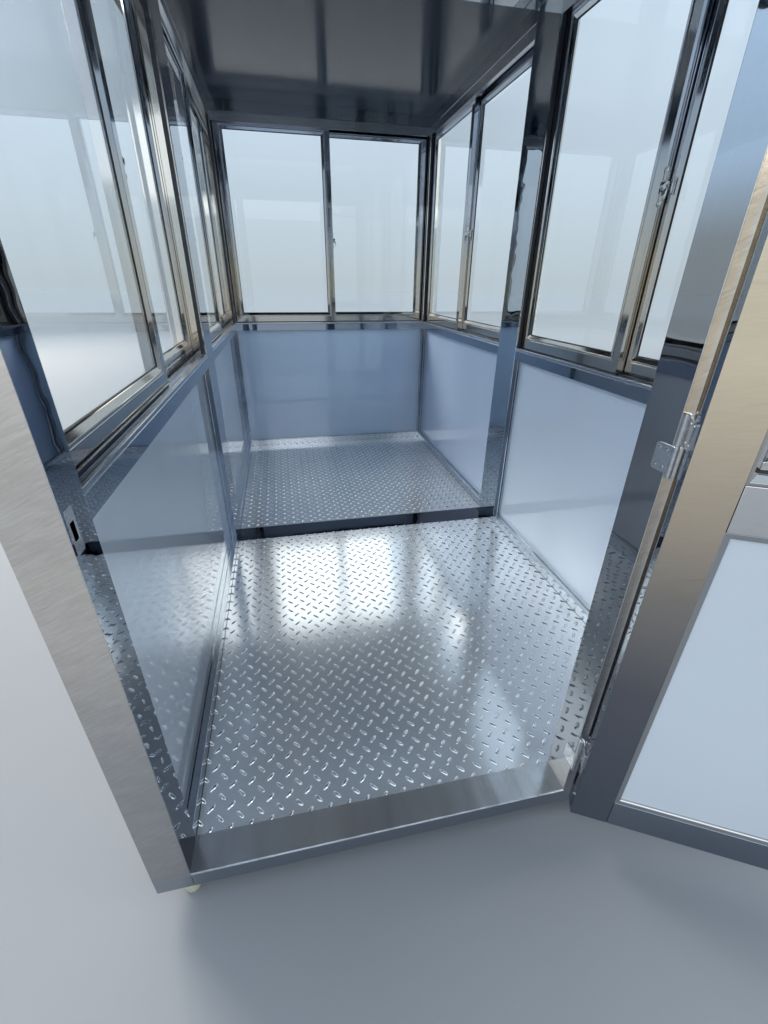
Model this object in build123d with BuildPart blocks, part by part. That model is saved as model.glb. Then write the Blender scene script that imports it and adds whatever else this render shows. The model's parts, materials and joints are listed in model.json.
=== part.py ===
from build123d import *
import math
import os

# ---------------------------------------------------------------------------
# Stainless-steel security guard booth, millimetres, +Z up.
# Origin: on the ground, under the plan centre of the booth body.
# -Y is the door end, +Y the far end, +X to the right as one looks in.
# ---------------------------------------------------------------------------

# overall body
BODY_W = 1524.0          # outside width
BODY_L = 3048.0          # outside length
WALL = 80.0              # wall and post thickness
FLOOR_Z = 120.0          # top of the floor plates above the ground
FEET_H = 72.0            # clear height under the base frame
CEIL_Z = FLOOR_Z + 2120.0     # underside of the ceiling
SOFFIT_Z = FLOOR_Z + 2155.0   # underside of the roof deck
INSET = 30.0             # wall panels stand back this far from the post faces
PANEL_T = 45.0           # infill panel thickness

# levels above the floor
KICK_TOP = FLOOR_Z + 42.0
SILL_BOT = FLOOR_Z + 857.0
SILL_LIP = FLOOR_Z + 908.0
HEAD_BOT = FLOOR_Z + 2019.0
HEAD_LINE = FLOOR_Z + 2064.0
SASH_BOT = FLOOR_Z + 914.0
SASH_TOP = FLOOR_Z + 2034.0

# sash section
STILE = 52.0
RAIL_LOW = 57.0
RAIL_TOP = 44.0
SASH_T = 25.0
TRACK_IN = 23.0          # inner track: face depth from the post faces
TRACK_OUT = 52.0         # outer track
OVERLAP = 21.0           # how far the two sashes of a bay lap when closed
GLASS_T = 5.0

# mid frame
MID_HALF = 94.0          # half width of the middle posts
STRIP_Y0 = -52.0         # floor joint strip
STRIP_Y1 = 74.0
BEAM_HALF = 116.0        # half width of the ceiling joint beam
BEAM_DROP = 12.0         # it hangs this far below the ceiling

# roof
OVERHANG = 150.0
ROOF_T = 70.0
CAP_RISE = 34.0

# doorway and door
DOOR_OPEN_W = 921.0
DOOR_T = 45.0
DOOR_GAP = 5.0
DOOR_BOT = FLOOR_Z + 6.0
DOOR_TOP = FLOOR_Z + 2013.0
DOOR_STILE = 83.0
DOOR_RAIL_LOW = FLOOR_Z + 88.0
DOOR_MID_LOW = FLOOR_Z + 825.0
DOOR_MID_TOP = FLOOR_Z + 908.0
DOOR_RAIL_TOP = FLOOR_Z + 1930.0
DOOR_ANGLE = 151.0       # how far the door stands open at rest
HINGE_R = 6.5
HINGE_HALF = 55.0        # half height of one hinge
HINGE_Z = [FLOOR_Z + 153.0, FLOOR_Z + 944.0, FLOOR_Z + 1735.0]
LEAF_T = 2.4
LEAF_W = 31.0            # leaf width beyond the face of the wall
PIN_R = 3.0
PIN_UP = 45.0            # the pin stands this far into the upper knuckle
LOCK_Z = FLOOR_Z + 870.0

# derived planes
XI = BODY_W / 2 - WALL       # inner face of the side posts
XO = BODY_W / 2
YF = -BODY_L / 2             # outer front face
YFI = YF + WALL              # inner front face
YB = BODY_L / 2              # outer rear face
YBI = YB - WALL              # inner rear face
PIN_X = -XI + DOOR_OPEN_W + 2.0
PIN_Y = YF - 7.0
JAMB_X0 = -XI + DOOR_OPEN_W
JAMB_X1 = JAMB_X0 + WALL

os.makedirs("parts", exist_ok=True)


def slab(x0, x1, y0, y1, z0, z1, mode=Mode.ADD):
    """A straight block between two corners, placed in the current part."""
    with Locations(((x0 + x1) / 2, (y0 + y1) / 2, (z0 + z1) / 2)):
        Box(abs(x1 - x0), abs(y1 - y0), abs(z1 - z0), mode=mode)


# Each wall has a plane whose x runs outward from the inner post faces, whose y
# is up, and whose normal runs along the wall.
def wall_plane(side, start):
    if side == "left":
        return Plane(origin=(-XI, start, 0), x_dir=(-1, 0, 0), z_dir=(0, 1, 0))
    if side == "right":
        return Plane(origin=(XI, start, 0), x_dir=(1, 0, 0), z_dir=(0, -1, 0))
    if side == "rear":
        return Plane(origin=(start, YBI, 0), x_dir=(0, 1, 0), z_dir=(1, 0, 0))
    return Plane(origin=(start, YFI, 0), x_dir=(0, -1, 0), z_dir=(-1, 0, 0))


BAY = YBI - MID_HALF         # length of one side bay
# side, start on the wall, length; every bay between two posts
BAYS = {
    "left_front": ("left", YFI, -MID_HALF - YFI),
    "left_rear": ("left", MID_HALF, YBI - MID_HALF),
    "right_front": ("right", -MID_HALF, -MID_HALF - YFI),
    "right_rear": ("right", YBI, YBI - MID_HALF),
    "rear": ("rear", -XI, 2 * XI),
    "front": ("front", XI, XI - JAMB_X1),
}

# the sill carries a front lip, a divider between the tracks and one rail under each sash
RAIL_AT = [TRACK_IN + SASH_T / 2, TRACK_OUT + SASH_T / 2]
SILL_PROFILE = [
    (0, SILL_BOT), (0, SILL_LIP - 10), (1.2, SILL_LIP - 9), (1.2, SILL_LIP), (3.2, SILL_LIP), (3.2, SILL_LIP - 8),
    (19, SILL_LIP - 8), (19, SILL_LIP), (21, SILL_LIP), (21, SILL_LIP - 6),
    (RAIL_AT[0] - 1, SILL_LIP - 6), (RAIL_AT[0] - 1, SILL_LIP + 4), (RAIL_AT[0] + 1, SILL_LIP + 4), (RAIL_AT[0] + 1, SILL_LIP - 6),
    (49, SILL_LIP - 6), (49, SILL_LIP), (51, SILL_LIP), (51, SILL_LIP - 6),
    (RAIL_AT[1] - 1, SILL_LIP - 6), (RAIL_AT[1] - 1, SILL_LIP + 4), (RAIL_AT[1] + 1, SILL_LIP + 4), (RAIL_AT[1] + 1, SILL_LIP - 6),
    (WALL, SILL_LIP - 8), (WALL, SILL_BOT),
]
HEAD_PROFILE = [
    (0, HEAD_BOT), (0, HEAD_LINE - 1.5), (1.5, HEAD_LINE), (0, HEAD_LINE + 1.5), (0, SOFFIT_Z), (WALL, SOFFIT_Z),
    (WALL, HEAD_BOT), (77.5, HEAD_BOT), (77.5, HEAD_BOT + 22), (21.5, HEAD_BOT + 22), (21.5, HEAD_BOT),
]

# ---------------------------------------------------------------------------
# base frame, feet and floor
# ---------------------------------------------------------------------------
BASE_Z0 = FEET_H
RAIL_W = WALL
with BuildPart() as base_side_rails:
    for s in (-1, 1):
        slab(s * (XO - RAIL_W), s * XO, YF, YB, BASE_Z0, FLOOR_Z)
base_side_rails.part.label = "base_side_rails"
export_step(base_side_rails.part, "parts/base_side_rails.step")

with BuildPart() as base_end_rails:
    slab(-XI, XI, YF, YFI, BASE_Z0, FLOOR_Z)
    slab(-XI, JAMB_X0, YF, YFI, FLOOR_Z - 3, FLOOR_Z, mode=Mode.SUBTRACT)
    slab(-XI, XI, YBI, YB, BASE_Z0, FLOOR_Z)
base_end_rails.part.label = "base_end_rails"
export_step(base_end_rails.part, "parts/base_end_rails.step")

CROSS_Y = [-1090.0, -720.0, -355.0, 11.0, 375.0, 735.0, 1095.0]
with BuildPart() as base_cross_members:
    with BuildSketch(Plane.XY.offset(BASE_Z0)):
        for y in CROSS_Y:
            with Locations((0, y)):
                Rectangle(2 * XI, 60)
    extrude(amount=23)
base_cross_members.part.label = "base_cross_members"
export_step(base_cross_members.part, "parts/base_cross_members.step")

FOOT_R = 20.0
FOOT_X = XI + 20.0
FOOT_Y = [YF + 40.0, 0.0, YB - 40.0]
FOOT_AT = [(s * FOOT_X, y) for s in (-1, 1) for y in FOOT_Y]
with BuildPart() as levelling_feet:
    with BuildSketch(Plane.XY):
        with Locations(*FOOT_AT):
            Circle(FOOT_R)
    extrude(amount=30)
    with BuildSketch(Plane.XY.offset(30)):
        with Locations(*FOOT_AT):
            RegularPolygon(16, 6)
    extrude(amount=14)
    with BuildSketch(Plane.XY.offset(44)):
        with Locations(*FOOT_AT):
            Circle(8)
    extrude(amount=FEET_H - 44)
levelling_feet.part.label = "levelling_feet"
export_step(levelling_feet.part, "parts/levelling_feet.step")

with BuildPart() as floor_deck:
    slab(-XI, XI, YFI, YBI, BASE_Z0 + 23, FLOOR_Z - 3)
floor_deck.part.label = "floor_deck"
export_step(floor_deck.part, "parts/floor_deck.step")

with BuildPart() as tread_plate_front:
    slab(-XI, XI, YFI, STRIP_Y0, FLOOR_Z - 3, FLOOR_Z)
tread_plate_front.part.label = "tread_plate_front"
export_step(tread_plate_front.part, "parts/tread_plate_front.step")

with BuildPart() as tread_plate_rear:
    slab(-XI, XI, STRIP_Y1, YBI, FLOOR_Z - 3, FLOOR_Z)
tread_plate_rear.part.label = "tread_plate_rear"
export_step(tread_plate_rear.part, "parts/tread_plate_rear.step")

with BuildPart() as floor_joint_strip:
    slab(-XI, XI, STRIP_Y0, STRIP_Y1, FLOOR_Z - 3, FLOOR_Z)
floor_joint_strip.part.label = "floor_joint_strip"
export_step(floor_joint_strip.part, "parts/floor_joint_strip.step")

with BuildPart() as door_threshold:
    with BuildSketch(Plane(origin=(-XI, YFI, FLOOR_Z), x_dir=(0, -1, 0), z_dir=(1, 0, 0))):
        with BuildLine():
            Polyline((0, 0), (WALL + 2, 0), (WALL + 2, 8 - WALL / 8), (WALL, -2), (WALL, -3), (0, -3), close=True)
        make_face()
    extrude(amount=DOOR_OPEN_W)
door_threshold.part.label = "door_threshold"
export_step(door_threshold.part, "parts/door_threshold.step")

# ---------------------------------------------------------------------------
# posts
# ---------------------------------------------------------------------------
POST_EDGE = 1.5


def post(x0, x1, y0, y1):
    with BuildSketch(Plane.XY.offset(FLOOR_Z)) as sk:
        with Locations(((x0 + x1) / 2, (y0 + y1) / 2)):
            RectangleRounded(abs(x1 - x0), abs(y1 - y0), POST_EDGE)
    extrude(sk.sketch, amount=SOFFIT_Z - FLOOR_Z)


STRIKE_Y = YF + 21.0
with BuildPart() as post_front_left:
    post(-XO, -XI, YF, YFI)
    slab(-XI - 1.5, -XI + 1, STRIKE_Y - 13, STRIKE_Y + 13, LOCK_Z - 35, LOCK_Z + 35, mode=Mode.SUBTRACT)
    slab(-XI - 18, -XI, STRIKE_Y - 7, STRIKE_Y + 7, LOCK_Z - 14.5, LOCK_Z + 14.5, mode=Mode.SUBTRACT)
post_front_left.part.label = "post_front_left"
export_step(post_front_left.part, "parts/post_front_left.step")

with BuildPart() as post_front_right:
    post(XI, XO, YF, YFI)
post_front_right.part.label = "post_front_right"
export_step(post_front_right.part, "parts/post_front_right.step")

with BuildPart() as post_rear_left:
    post(-XO, -XI, YBI, YB)
post_rear_left.part.label = "post_rear_left"
export_step(post_rear_left.part, "parts/post_rear_left.step")

with BuildPart() as post_rear_right:
    post(XI, XO, YBI, YB)
post_rear_right.part.label = "post_rear_right"
export_step(post_rear_right.part, "parts/post_rear_right.step")

with BuildPart() as post_mid_left:
    post(-XO, -XI, -MID_HALF, MID_HALF)
post_mid_left.part.label = "post_mid_left"
export_step(post_mid_left.part, "parts/post_mid_left.step")

with BuildPart() as post_mid_right:
    post(XI, XO, -MID_HALF, MID_HALF)
post_mid_right.part.label = "post_mid_right"
export_step(post_mid_right.part, "parts/post_mid_right.step")

with BuildPart() as door_jamb_post:
    post(JAMB_X0, JAMB_X1, YF, YFI)
door_jamb_post.part.label = "door_jamb_post"
export_step(door_jamb_post.part, "parts/door_jamb_post.step")

with BuildPart() as door_header:
    slab(-XI, JAMB_X0, YF, YFI, HEAD_BOT, SOFFIT_Z)
door_header.part.label = "door_header"
export_step(door_header.part, "parts/door_header.step")

# ---------------------------------------------------------------------------
# rails of every bay
# ---------------------------------------------------------------------------
with BuildPart() as kick_rails:
    for side, start, length in BAYS.values():
        with BuildSketch(wall_plane(side, start)):
            with Locations((WALL / 2, (FLOOR_Z + KICK_TOP) / 2)):
                Rectangle(WALL, KICK_TOP - FLOOR_Z)
        extrude(amount=length)
kick_rails.part.label = "kick_rails"
export_step(kick_rails.part, "parts/kick_rails.step")

with BuildPart() as sill_rails:
    for side, start, length in BAYS.values():
        with BuildSketch(wall_plane(side, start)):
            with BuildLine():
                Polyline(*SILL_PROFILE, close=True)
            make_face()
        extrude(amount=length)
sill_rails.part.label = "sill_rails"
export_step(sill_rails.part, "parts/sill_rails.step")

with BuildPart() as head_rails:
    for side, start, length in BAYS.values():
        with BuildSketch(wall_plane(side, start)):
            with BuildLine():
                Polyline(*HEAD_PROFILE, close=True)
            make_face()
        extrude(amount=length)
head_rails.part.label = "head_rails"
export_step(head_rails.part, "parts/head_rails.step")

with BuildPart() as ceiling_joint_beam:
    slab(-XI, XI, -BEAM_HALF, BEAM_HALF, CEIL_Z - BEAM_DROP, SOFFIT_Z)
ceiling_joint_beam.part.label = "ceiling_joint_beam"
export_step(ceiling_joint_beam.part, "parts/ceiling_joint_beam.step")


# ---------------------------------------------------------------------------
# infill panels under the sills
# ---------------------------------------------------------------------------
def panel(bay):
    side, start, length = BAYS[bay]
    with BuildSketch(wall_plane(side, start)) as sk:
        with Locations((INSET + PANEL_T / 2, (KICK_TOP + SILL_BOT) / 2)):
            Rectangle(PANEL_T, SILL_BOT - KICK_TOP)
    extrude(sk.sketch, amount=length)


with BuildPart() as panels_left:
    panel("left_front")
    panel("left_rear")
panels_left.part.label = "panels_left"
export_step(panels_left.part, "parts/panels_left.step")

with BuildPart() as panels_right:
    panel("right_front")
    panel("right_rear")
panels_right.part.label = "panels_right"
export_step(panels_right.part, "parts/panels_right.step")

with BuildPart() as panel_rear:
    panel("rear")
panel_rear.part.label = "panel_rear"
export_step(panel_rear.part, "parts/panel_rear.step")

with BuildPart() as panel_front:
    panel("front")
panel_front.part.label = "panel_front"
export_step(panel_front.part, "parts/panel_front.step")

# ---------------------------------------------------------------------------
# sliding sashes and their glass
# ---------------------------------------------------------------------------
# inner sash spans and outer sash spans, measured along the wall plane's normal;
# seen from inside, the inner sash is always the left-hand one
SASHES = {
    "left_front": ((6.0, 731.0), (731.0 - OVERLAP, BAY - 6.0)),
    "left_rear": ((6.0, 641.0), (641.0 - OVERLAP, BAY - 6.0)),
    "right_front": ((6.0, 671.0), (671.0 - OVERLAP, BAY - 6.0)),
    "right_rear": ((6.0, 701.0), (701.0 - OVERLAP, BAY - 6.0)),
    "rear": ((6.0, 708.0), (708.0 - STILE, 2 * XI - 6.0)),
}


def sash_plane(side, start, depth):
    p = wall_plane(side, start)
    # a plane that lies in the sash: x along the wall, y up, normal outward
    return Plane(origin=p.origin + p.x_dir * depth, x_dir=p.z_dir, z_dir=p.z_dir.cross(p.y_dir))


def sash_frame(bay, k):
    side, start, length = BAYS[bay]
    a, b = SASHES[bay][k]
    depth = TRACK_IN if k == 0 else TRACK_OUT
    p = sash_plane(side, start, depth)
    out = wall_plane(side, start).x_dir
    sgn = 1 if p.z_dir.dot(out) > 0 else -1
    with BuildSketch(p) as sk:
        with Locations(((a + b) / 2, (SASH_BOT + SASH_TOP) / 2)):
            Rectangle(b - a, SASH_TOP - SASH_BOT)
        z0, z1 = SASH_BOT + RAIL_LOW, SASH_TOP - RAIL_TOP
        with Locations(((a + b) / 2, (z0 + z1) / 2)):
            Rectangle(b - a - 2 * STILE, z1 - z0, mode=Mode.SUBTRACT)
    extrude(sk.sketch, amount=sgn * SASH_T)


def pane(bay, k):
    side, start, length = BAYS[bay]
    a, b = SASHES[bay][k]
    depth = (TRACK_IN if k == 0 else TRACK_OUT) + (SASH_T - GLASS_T) / 2
    p = sash_plane(side, start, depth)
    out = wall_plane(side, start).x_dir
    sgn = 1 if p.z_dir.dot(out) > 0 else -1
    z0, z1 = SASH_BOT + RAIL_LOW, SASH_TOP - RAIL_TOP
    with BuildSketch(p) as sk:
        with Locations(((a + b) / 2, (z0 + z1) / 2)):
            Rectangle(b - a - 2 * STILE, z1 - z0)
    extrude(sk.sketch, amount=sgn * GLASS_T)


with BuildPart() as window_left_front_sashes:
    sash_frame("left_front", 0)
    sash_frame("left_front", 1)
window_left_front_sashes.part.label = "window_left_front_sashes"
export_step(window_left_front_sashes.part, "parts/window_left_front_sashes.step")

with BuildPart() as window_left_rear_sashes:
    sash_frame("left_rear", 0)
    sash_frame("left_rear", 1)
window_left_rear_sashes.part.label = "window_left_rear_sashes"
export_step(window_left_rear_sashes.part, "parts/window_left_rear_sashes.step")

with BuildPart() as window_right_front_sashes:
    sash_frame("right_front", 0)
    sash_frame("right_front", 1)
window_right_front_sashes.part.label = "window_right_front_sashes"
export_step(window_right_front_sashes.part, "parts/window_right_front_sashes.step")

with BuildPart() as window_right_rear_sashes:
    sash_frame("right_rear", 0)
    sash_frame("right_rear", 1)
window_right_rear_sashes.part.label = "window_right_rear_sashes"
export_step(window_right_rear_sashes.part, "parts/window_right_rear_sashes.step")

with BuildPart() as window_rear_sashes:
    sash_frame("rear", 0)
    sash_frame("rear", 1)
window_rear_sashes.part.label = "window_rear_sashes"
export_step(window_rear_sashes.part, "parts/window_rear_sashes.step")

with BuildPart() as window_glass_left:
    for bay in ("left_front", "left_rear"):
        pane(bay, 0)
        pane(bay, 1)
window_glass_left.part.label = "window_glass_left"
export_step(window_glass_left.part, "parts/window_glass_left.step")

with BuildPart() as window_glass_right:
    for bay in ("right_front", "right_rear"):
        pane(bay, 0)
        pane(bay, 1)
window_glass_right.part.label = "window_glass_right"
export_step(window_glass_right.part, "parts/window_glass_right.step")

with BuildPart() as window_glass_rear:
    pane("rear", 0)
    pane("rear", 1)
window_glass_rear.part.label = "window_glass_rear"
export_step(window_glass_rear.part, "parts/window_glass_rear.step")

# the narrow bay beside the door has one fixed pane
with BuildPart() as window_front_glass:
    slab(JAMB_X1, XI, YFI - 61, YFI - 55, SILL_LIP - 6, HEAD_BOT + 20)
window_front_glass.part.label = "window_front_glass"
export_step(window_front_glass.part, "parts/window_front_glass.step")

# crescent latches: a two-screw base on the edge of the inner sash's meeting stile, a cam
# with a thumb lever on it and, where the outer stile is bare, a keeper on its room face
LATCH_Z = FLOOR_Z + 1425.0
CAM_AT = TRACK_IN + SASH_T / 2
with BuildPart() as window_latches:
    for bay, spans in SASHES.items():
        side, start, length = BAYS[bay]
        w = wall_plane(side, start)
        edge = Plane(origin=w.origin + w.z_dir * spans[0][1], x_dir=w.x_dir, z_dir=w.z_dir)
        with BuildSketch(edge):
            with Locations((CAM_AT, LATCH_Z)):
                Rectangle(14, 78)
            with Locations((CAM_AT, LATCH_Z + 39), (CAM_AT, LATCH_Z - 39)):
                Circle(9)
        extrude(amount=3)
        with BuildSketch(edge.offset(3)):
            with Locations((CAM_AT, LATCH_Z)):
                Circle(14)
        extrude(amount=11)
        with BuildSketch(edge.offset(14)):
            with Locations((CAM_AT - 3, LATCH_Z - 13)):
                SlotOverall(40, 11, rotation=78)
        extrude(amount=5)
        with BuildSketch(edge.offset(9)):
            with Locations((CAM_AT, LATCH_Z)):
                Circle(3.2)
        extrude(amount=10, mode=Mode.SUBTRACT)
        if spans[1][0] > spans[0][1] - STILE + 20:
            with BuildSketch(edge.offset(5)):
                with Locations((TRACK_OUT - 1, LATCH_Z)):
                    Rectangle(2, 40)
            extrude(amount=20)
            with BuildSketch(edge.offset(17)):
                with Locations((TRACK_OUT - 4, LATCH_Z)):
                    Rectangle(8, 32)
            extrude(amount=4)
window_latches.part.label = "window_latches"
export_step(window_latches.part, "parts/window_latches.step")

# ---------------------------------------------------------------------------
# ceiling and roof
# ---------------------------------------------------------------------------
with BuildPart() as ceiling_panels:
    slab(-XI, XI, YFI, -BEAM_HALF, CEIL_Z, SOFFIT_Z)
    slab(-XI, XI, BEAM_HALF, YBI, CEIL_Z, SOFFIT_Z)
ceiling_panels.part.label = "ceiling_panels"
export_step(ceiling_panels.part, "parts/ceiling_panels.step")

with BuildPart() as roof_deck:
    slab(-XO - OVERHANG, XO + OVERHANG, YF - OVERHANG, YB + OVERHANG, SOFFIT_Z, SOFFIT_Z + ROOF_T)
roof_deck.part.label = "roof_deck"
export_step(roof_deck.part, "parts/roof_deck.step")

with BuildPart() as roof_cap:
    with BuildSketch(Plane.XY.offset(SOFFIT_Z + ROOF_T)):
        Rectangle(2 * (XO + OVERHANG - 6), 2 * (YB + OVERHANG - 6))
    with BuildSketch(Plane.XY.offset(SOFFIT_Z + ROOF_T + CAP_RISE)):
        Rectangle(60, 2 * (YB + OVERHANG - 6) - 2 * (XO + OVERHANG - 6) + 60)
    loft()
roof_cap.part.label = "roof_cap"
export_step(roof_cap.part, "parts/roof_cap.step")

# ---------------------------------------------------------------------------
# door, drawn as it hangs on its hinge pins and turned open about them
# ---------------------------------------------------------------------------
A = math.radians(DOOR_ANGLE)
door_plane = Plane(origin=(PIN_X, PIN_Y, 0), x_dir=(math.cos(A), math.sin(A), 0), z_dir=(0, 0, 1))
# in the door's own axes: hinge edge, lock edge, outer face, inner face
DH = -(2.0 + DOOR_GAP)
DL = DH - (DOOR_OPEN_W - 2 * DOOR_GAP)
DO = 7.0
DI = 7.0 + DOOR_T


def door_block(x0, x1, y0, y1, z0, z1, mode=Mode.ADD):
    with BuildSketch(door_plane.offset(z0)) as sk:
        with Locations(((x0 + x1) / 2, (y0 + y1) / 2)):
            Rectangle(abs(x1 - x0), abs(y1 - y0))
    extrude(sk.sketch, amount=z1 - z0, mode=mode)


with BuildPart() as door_frame:
    door_block(DL, DH, DO, DI, DOOR_BOT, DOOR_TOP)
    door_block(DL + DOOR_STILE, DH - DOOR_STILE, DO - 1, DI + 1, DOOR_RAIL_LOW, DOOR_MID_LOW, mode=Mode.SUBTRACT)
    door_block(DL + DOOR_STILE, DH - DOOR_STILE, DO - 1, DI + 1, DOOR_MID_TOP, DOOR_RAIL_TOP, mode=Mode.SUBTRACT)
door_frame.part.label = "door_frame"
export_step(door_frame.part, "parts/door_frame.step")

with BuildPart() as door_panel:
    door_block(DL + DOOR_STILE, DH - DOOR_STILE, DO + 6, DI - 8, DOOR_RAIL_LOW, DOOR_MID_LOW)
door_panel.part.label = "door_panel"
export_step(door_panel.part, "parts/door_panel.step")

with BuildPart() as door_glass:
    door_block(DL + DOOR_STILE, DH - DOOR_STILE, DO + 18, DO + 24, DOOR_MID_TOP, DOOR_RAIL_TOP)
door_glass.part.label = "door_glass"
export_step(door_glass.part, "parts/door_glass.step")

with BuildPart() as door_hinge_leaves:
    for z in HINGE_Z:
        with BuildSketch(door_plane.offset(z + 0.5)):
            Circle(HINGE_R)
            with Locations((DH + LEAF_T / 2, (DO + LEAF_W) / 2)):
                Rectangle(LEAF_T, DO + LEAF_W)
        extrude(amount=HINGE_HALF - 0.5)
        with BuildSketch(door_plane.offset(z + 0.5)):
            Circle(PIN_R + 0.06)
        extrude(amount=PIN_UP + 1, mode=Mode.SUBTRACT)
door_hinge_leaves.part.label = "door_hinge_leaves"
export_step(door_hinge_leaves.part, "parts/door_hinge_leaves.step")

with BuildPart() as jamb_hinge_leaves:
    for z in HINGE_Z:
        with BuildSketch(Plane.XY.offset(z - HINGE_HALF)):
            with Locations((PIN_X, PIN_Y)):
                Circle(HINGE_R)
            with Locations((JAMB_X0 - LEAF_T / 2, (PIN_Y + YF + LEAF_W) / 2)):
                Rectangle(LEAF_T, YF + LEAF_W - PIN_Y)
        extrude(amount=HINGE_HALF)
        with BuildSketch(Plane.XY.offset(z)):
            with Locations((PIN_X, PIN_Y)):
                Circle(PIN_R)
        extrude(amount=PIN_UP)
jamb_hinge_leaves.part.label = "jamb_hinge_leaves"
export_step(jamb_hinge_leaves.part, "parts/jamb_hinge_leaves.step")

HANDLE_X = DL + 42.0
with BuildPart() as door_handle:
    for s, face in ((-1, DO), (1, DI)):
        plate0, plate1 = sorted((face, face + s * 4))
        door_block(HANDLE_X - 22, HANDLE_X + 22, plate0, plate1, LOCK_Z - 90, LOCK_Z + 90)
        stem0, stem1 = sorted((face + s * 3, face + s * 50))
        door_block(HANDLE_X - 8, HANDLE_X + 8, stem0, stem1, LOCK_Z + 14, LOCK_Z + 30)
        bar0, bar1 = sorted((face + s * 38, face + s * 52))
        door_block(HANDLE_X - 8, HANDLE_X + 112, bar0, bar1, LOCK_Z + 12, LOCK_Z + 32)
door_handle.part.label = "door_handle"
export_step(door_handle.part, "parts/door_handle.step")

with BuildPart() as strike_plate:
    slab(-XI - 1.5, -XI, STRIKE_Y - 13, STRIKE_Y + 13, LOCK_Z - 35, LOCK_Z + 35)
    slab(-XI - 3, -XI + 1, STRIKE_Y - 7, STRIKE_Y + 7, LOCK_Z - 14.5, LOCK_Z + 14.5, mode=Mode.SUBTRACT)
strike_plate.part.label = "strike_plate"
export_step(strike_plate.part, "parts/strike_plate.step")
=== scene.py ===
import json
import math
import random

import bmesh
import bpy
from mathutils import Matrix, Vector


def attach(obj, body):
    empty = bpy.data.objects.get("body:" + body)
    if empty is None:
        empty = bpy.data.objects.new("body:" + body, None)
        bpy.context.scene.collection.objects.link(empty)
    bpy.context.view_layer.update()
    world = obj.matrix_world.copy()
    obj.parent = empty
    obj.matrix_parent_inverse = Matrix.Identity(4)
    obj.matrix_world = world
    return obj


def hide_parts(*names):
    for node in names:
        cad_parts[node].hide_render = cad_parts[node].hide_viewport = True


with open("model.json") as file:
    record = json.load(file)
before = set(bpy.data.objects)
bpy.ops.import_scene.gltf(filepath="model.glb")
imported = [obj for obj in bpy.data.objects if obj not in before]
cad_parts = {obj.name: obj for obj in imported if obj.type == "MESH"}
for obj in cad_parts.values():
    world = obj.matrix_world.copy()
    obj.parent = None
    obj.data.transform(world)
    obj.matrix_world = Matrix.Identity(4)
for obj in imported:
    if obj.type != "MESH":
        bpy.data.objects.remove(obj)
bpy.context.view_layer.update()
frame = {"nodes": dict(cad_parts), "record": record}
nodes = frame["nodes"]
record = frame["record"]
body_of = {n: b for b, ns in record["behaviour"]["bodies"].items() for n in ns}
slot_of = {s["node"]: s["material_slot"] for s in record["subparts"]}
random.seed(11)

# ---------------------------------------------------------------------------
# the booth's driving sizes, in millimetres, as in the CAD
# ---------------------------------------------------------------------------
XI, XO = 682.0, 762.0
YF, YFI, YBI, YB = -1524.0, -1444.0, 1444.0, 1524.0
FLOOR_Z = 120.0
KICK_TOP = FLOOR_Z + 42
SILL_BOT, SILL_LIP = FLOOR_Z + 857, FLOOR_Z + 908
HEAD_BOT, HEAD_LINE, SOFFIT_Z, CEIL_Z = FLOOR_Z + 2019, FLOOR_Z + 2064, FLOOR_Z + 2155, FLOOR_Z + 2120
SASH_BOT, SASH_TOP = FLOOR_Z + 914, FLOOR_Z + 2034
TRACK_IN, TRACK_OUT, SASH_T = 23.0, 52.0, 25.0
OVERLAP = 21.0
MID_HALF = 94.0
STRIP_Y0, STRIP_Y1 = -52.0, 74.0
BEAM_HALF = 116.0
DOOR_W = 921.0
JAMB_X0 = -XI + DOOR_W
JAMB_X1 = JAMB_X0 + 80
PIN_X, PIN_Y = JAMB_X0 + 2, YF - 7
BAY = YBI - MID_HALF
MM = 0.001


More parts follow.
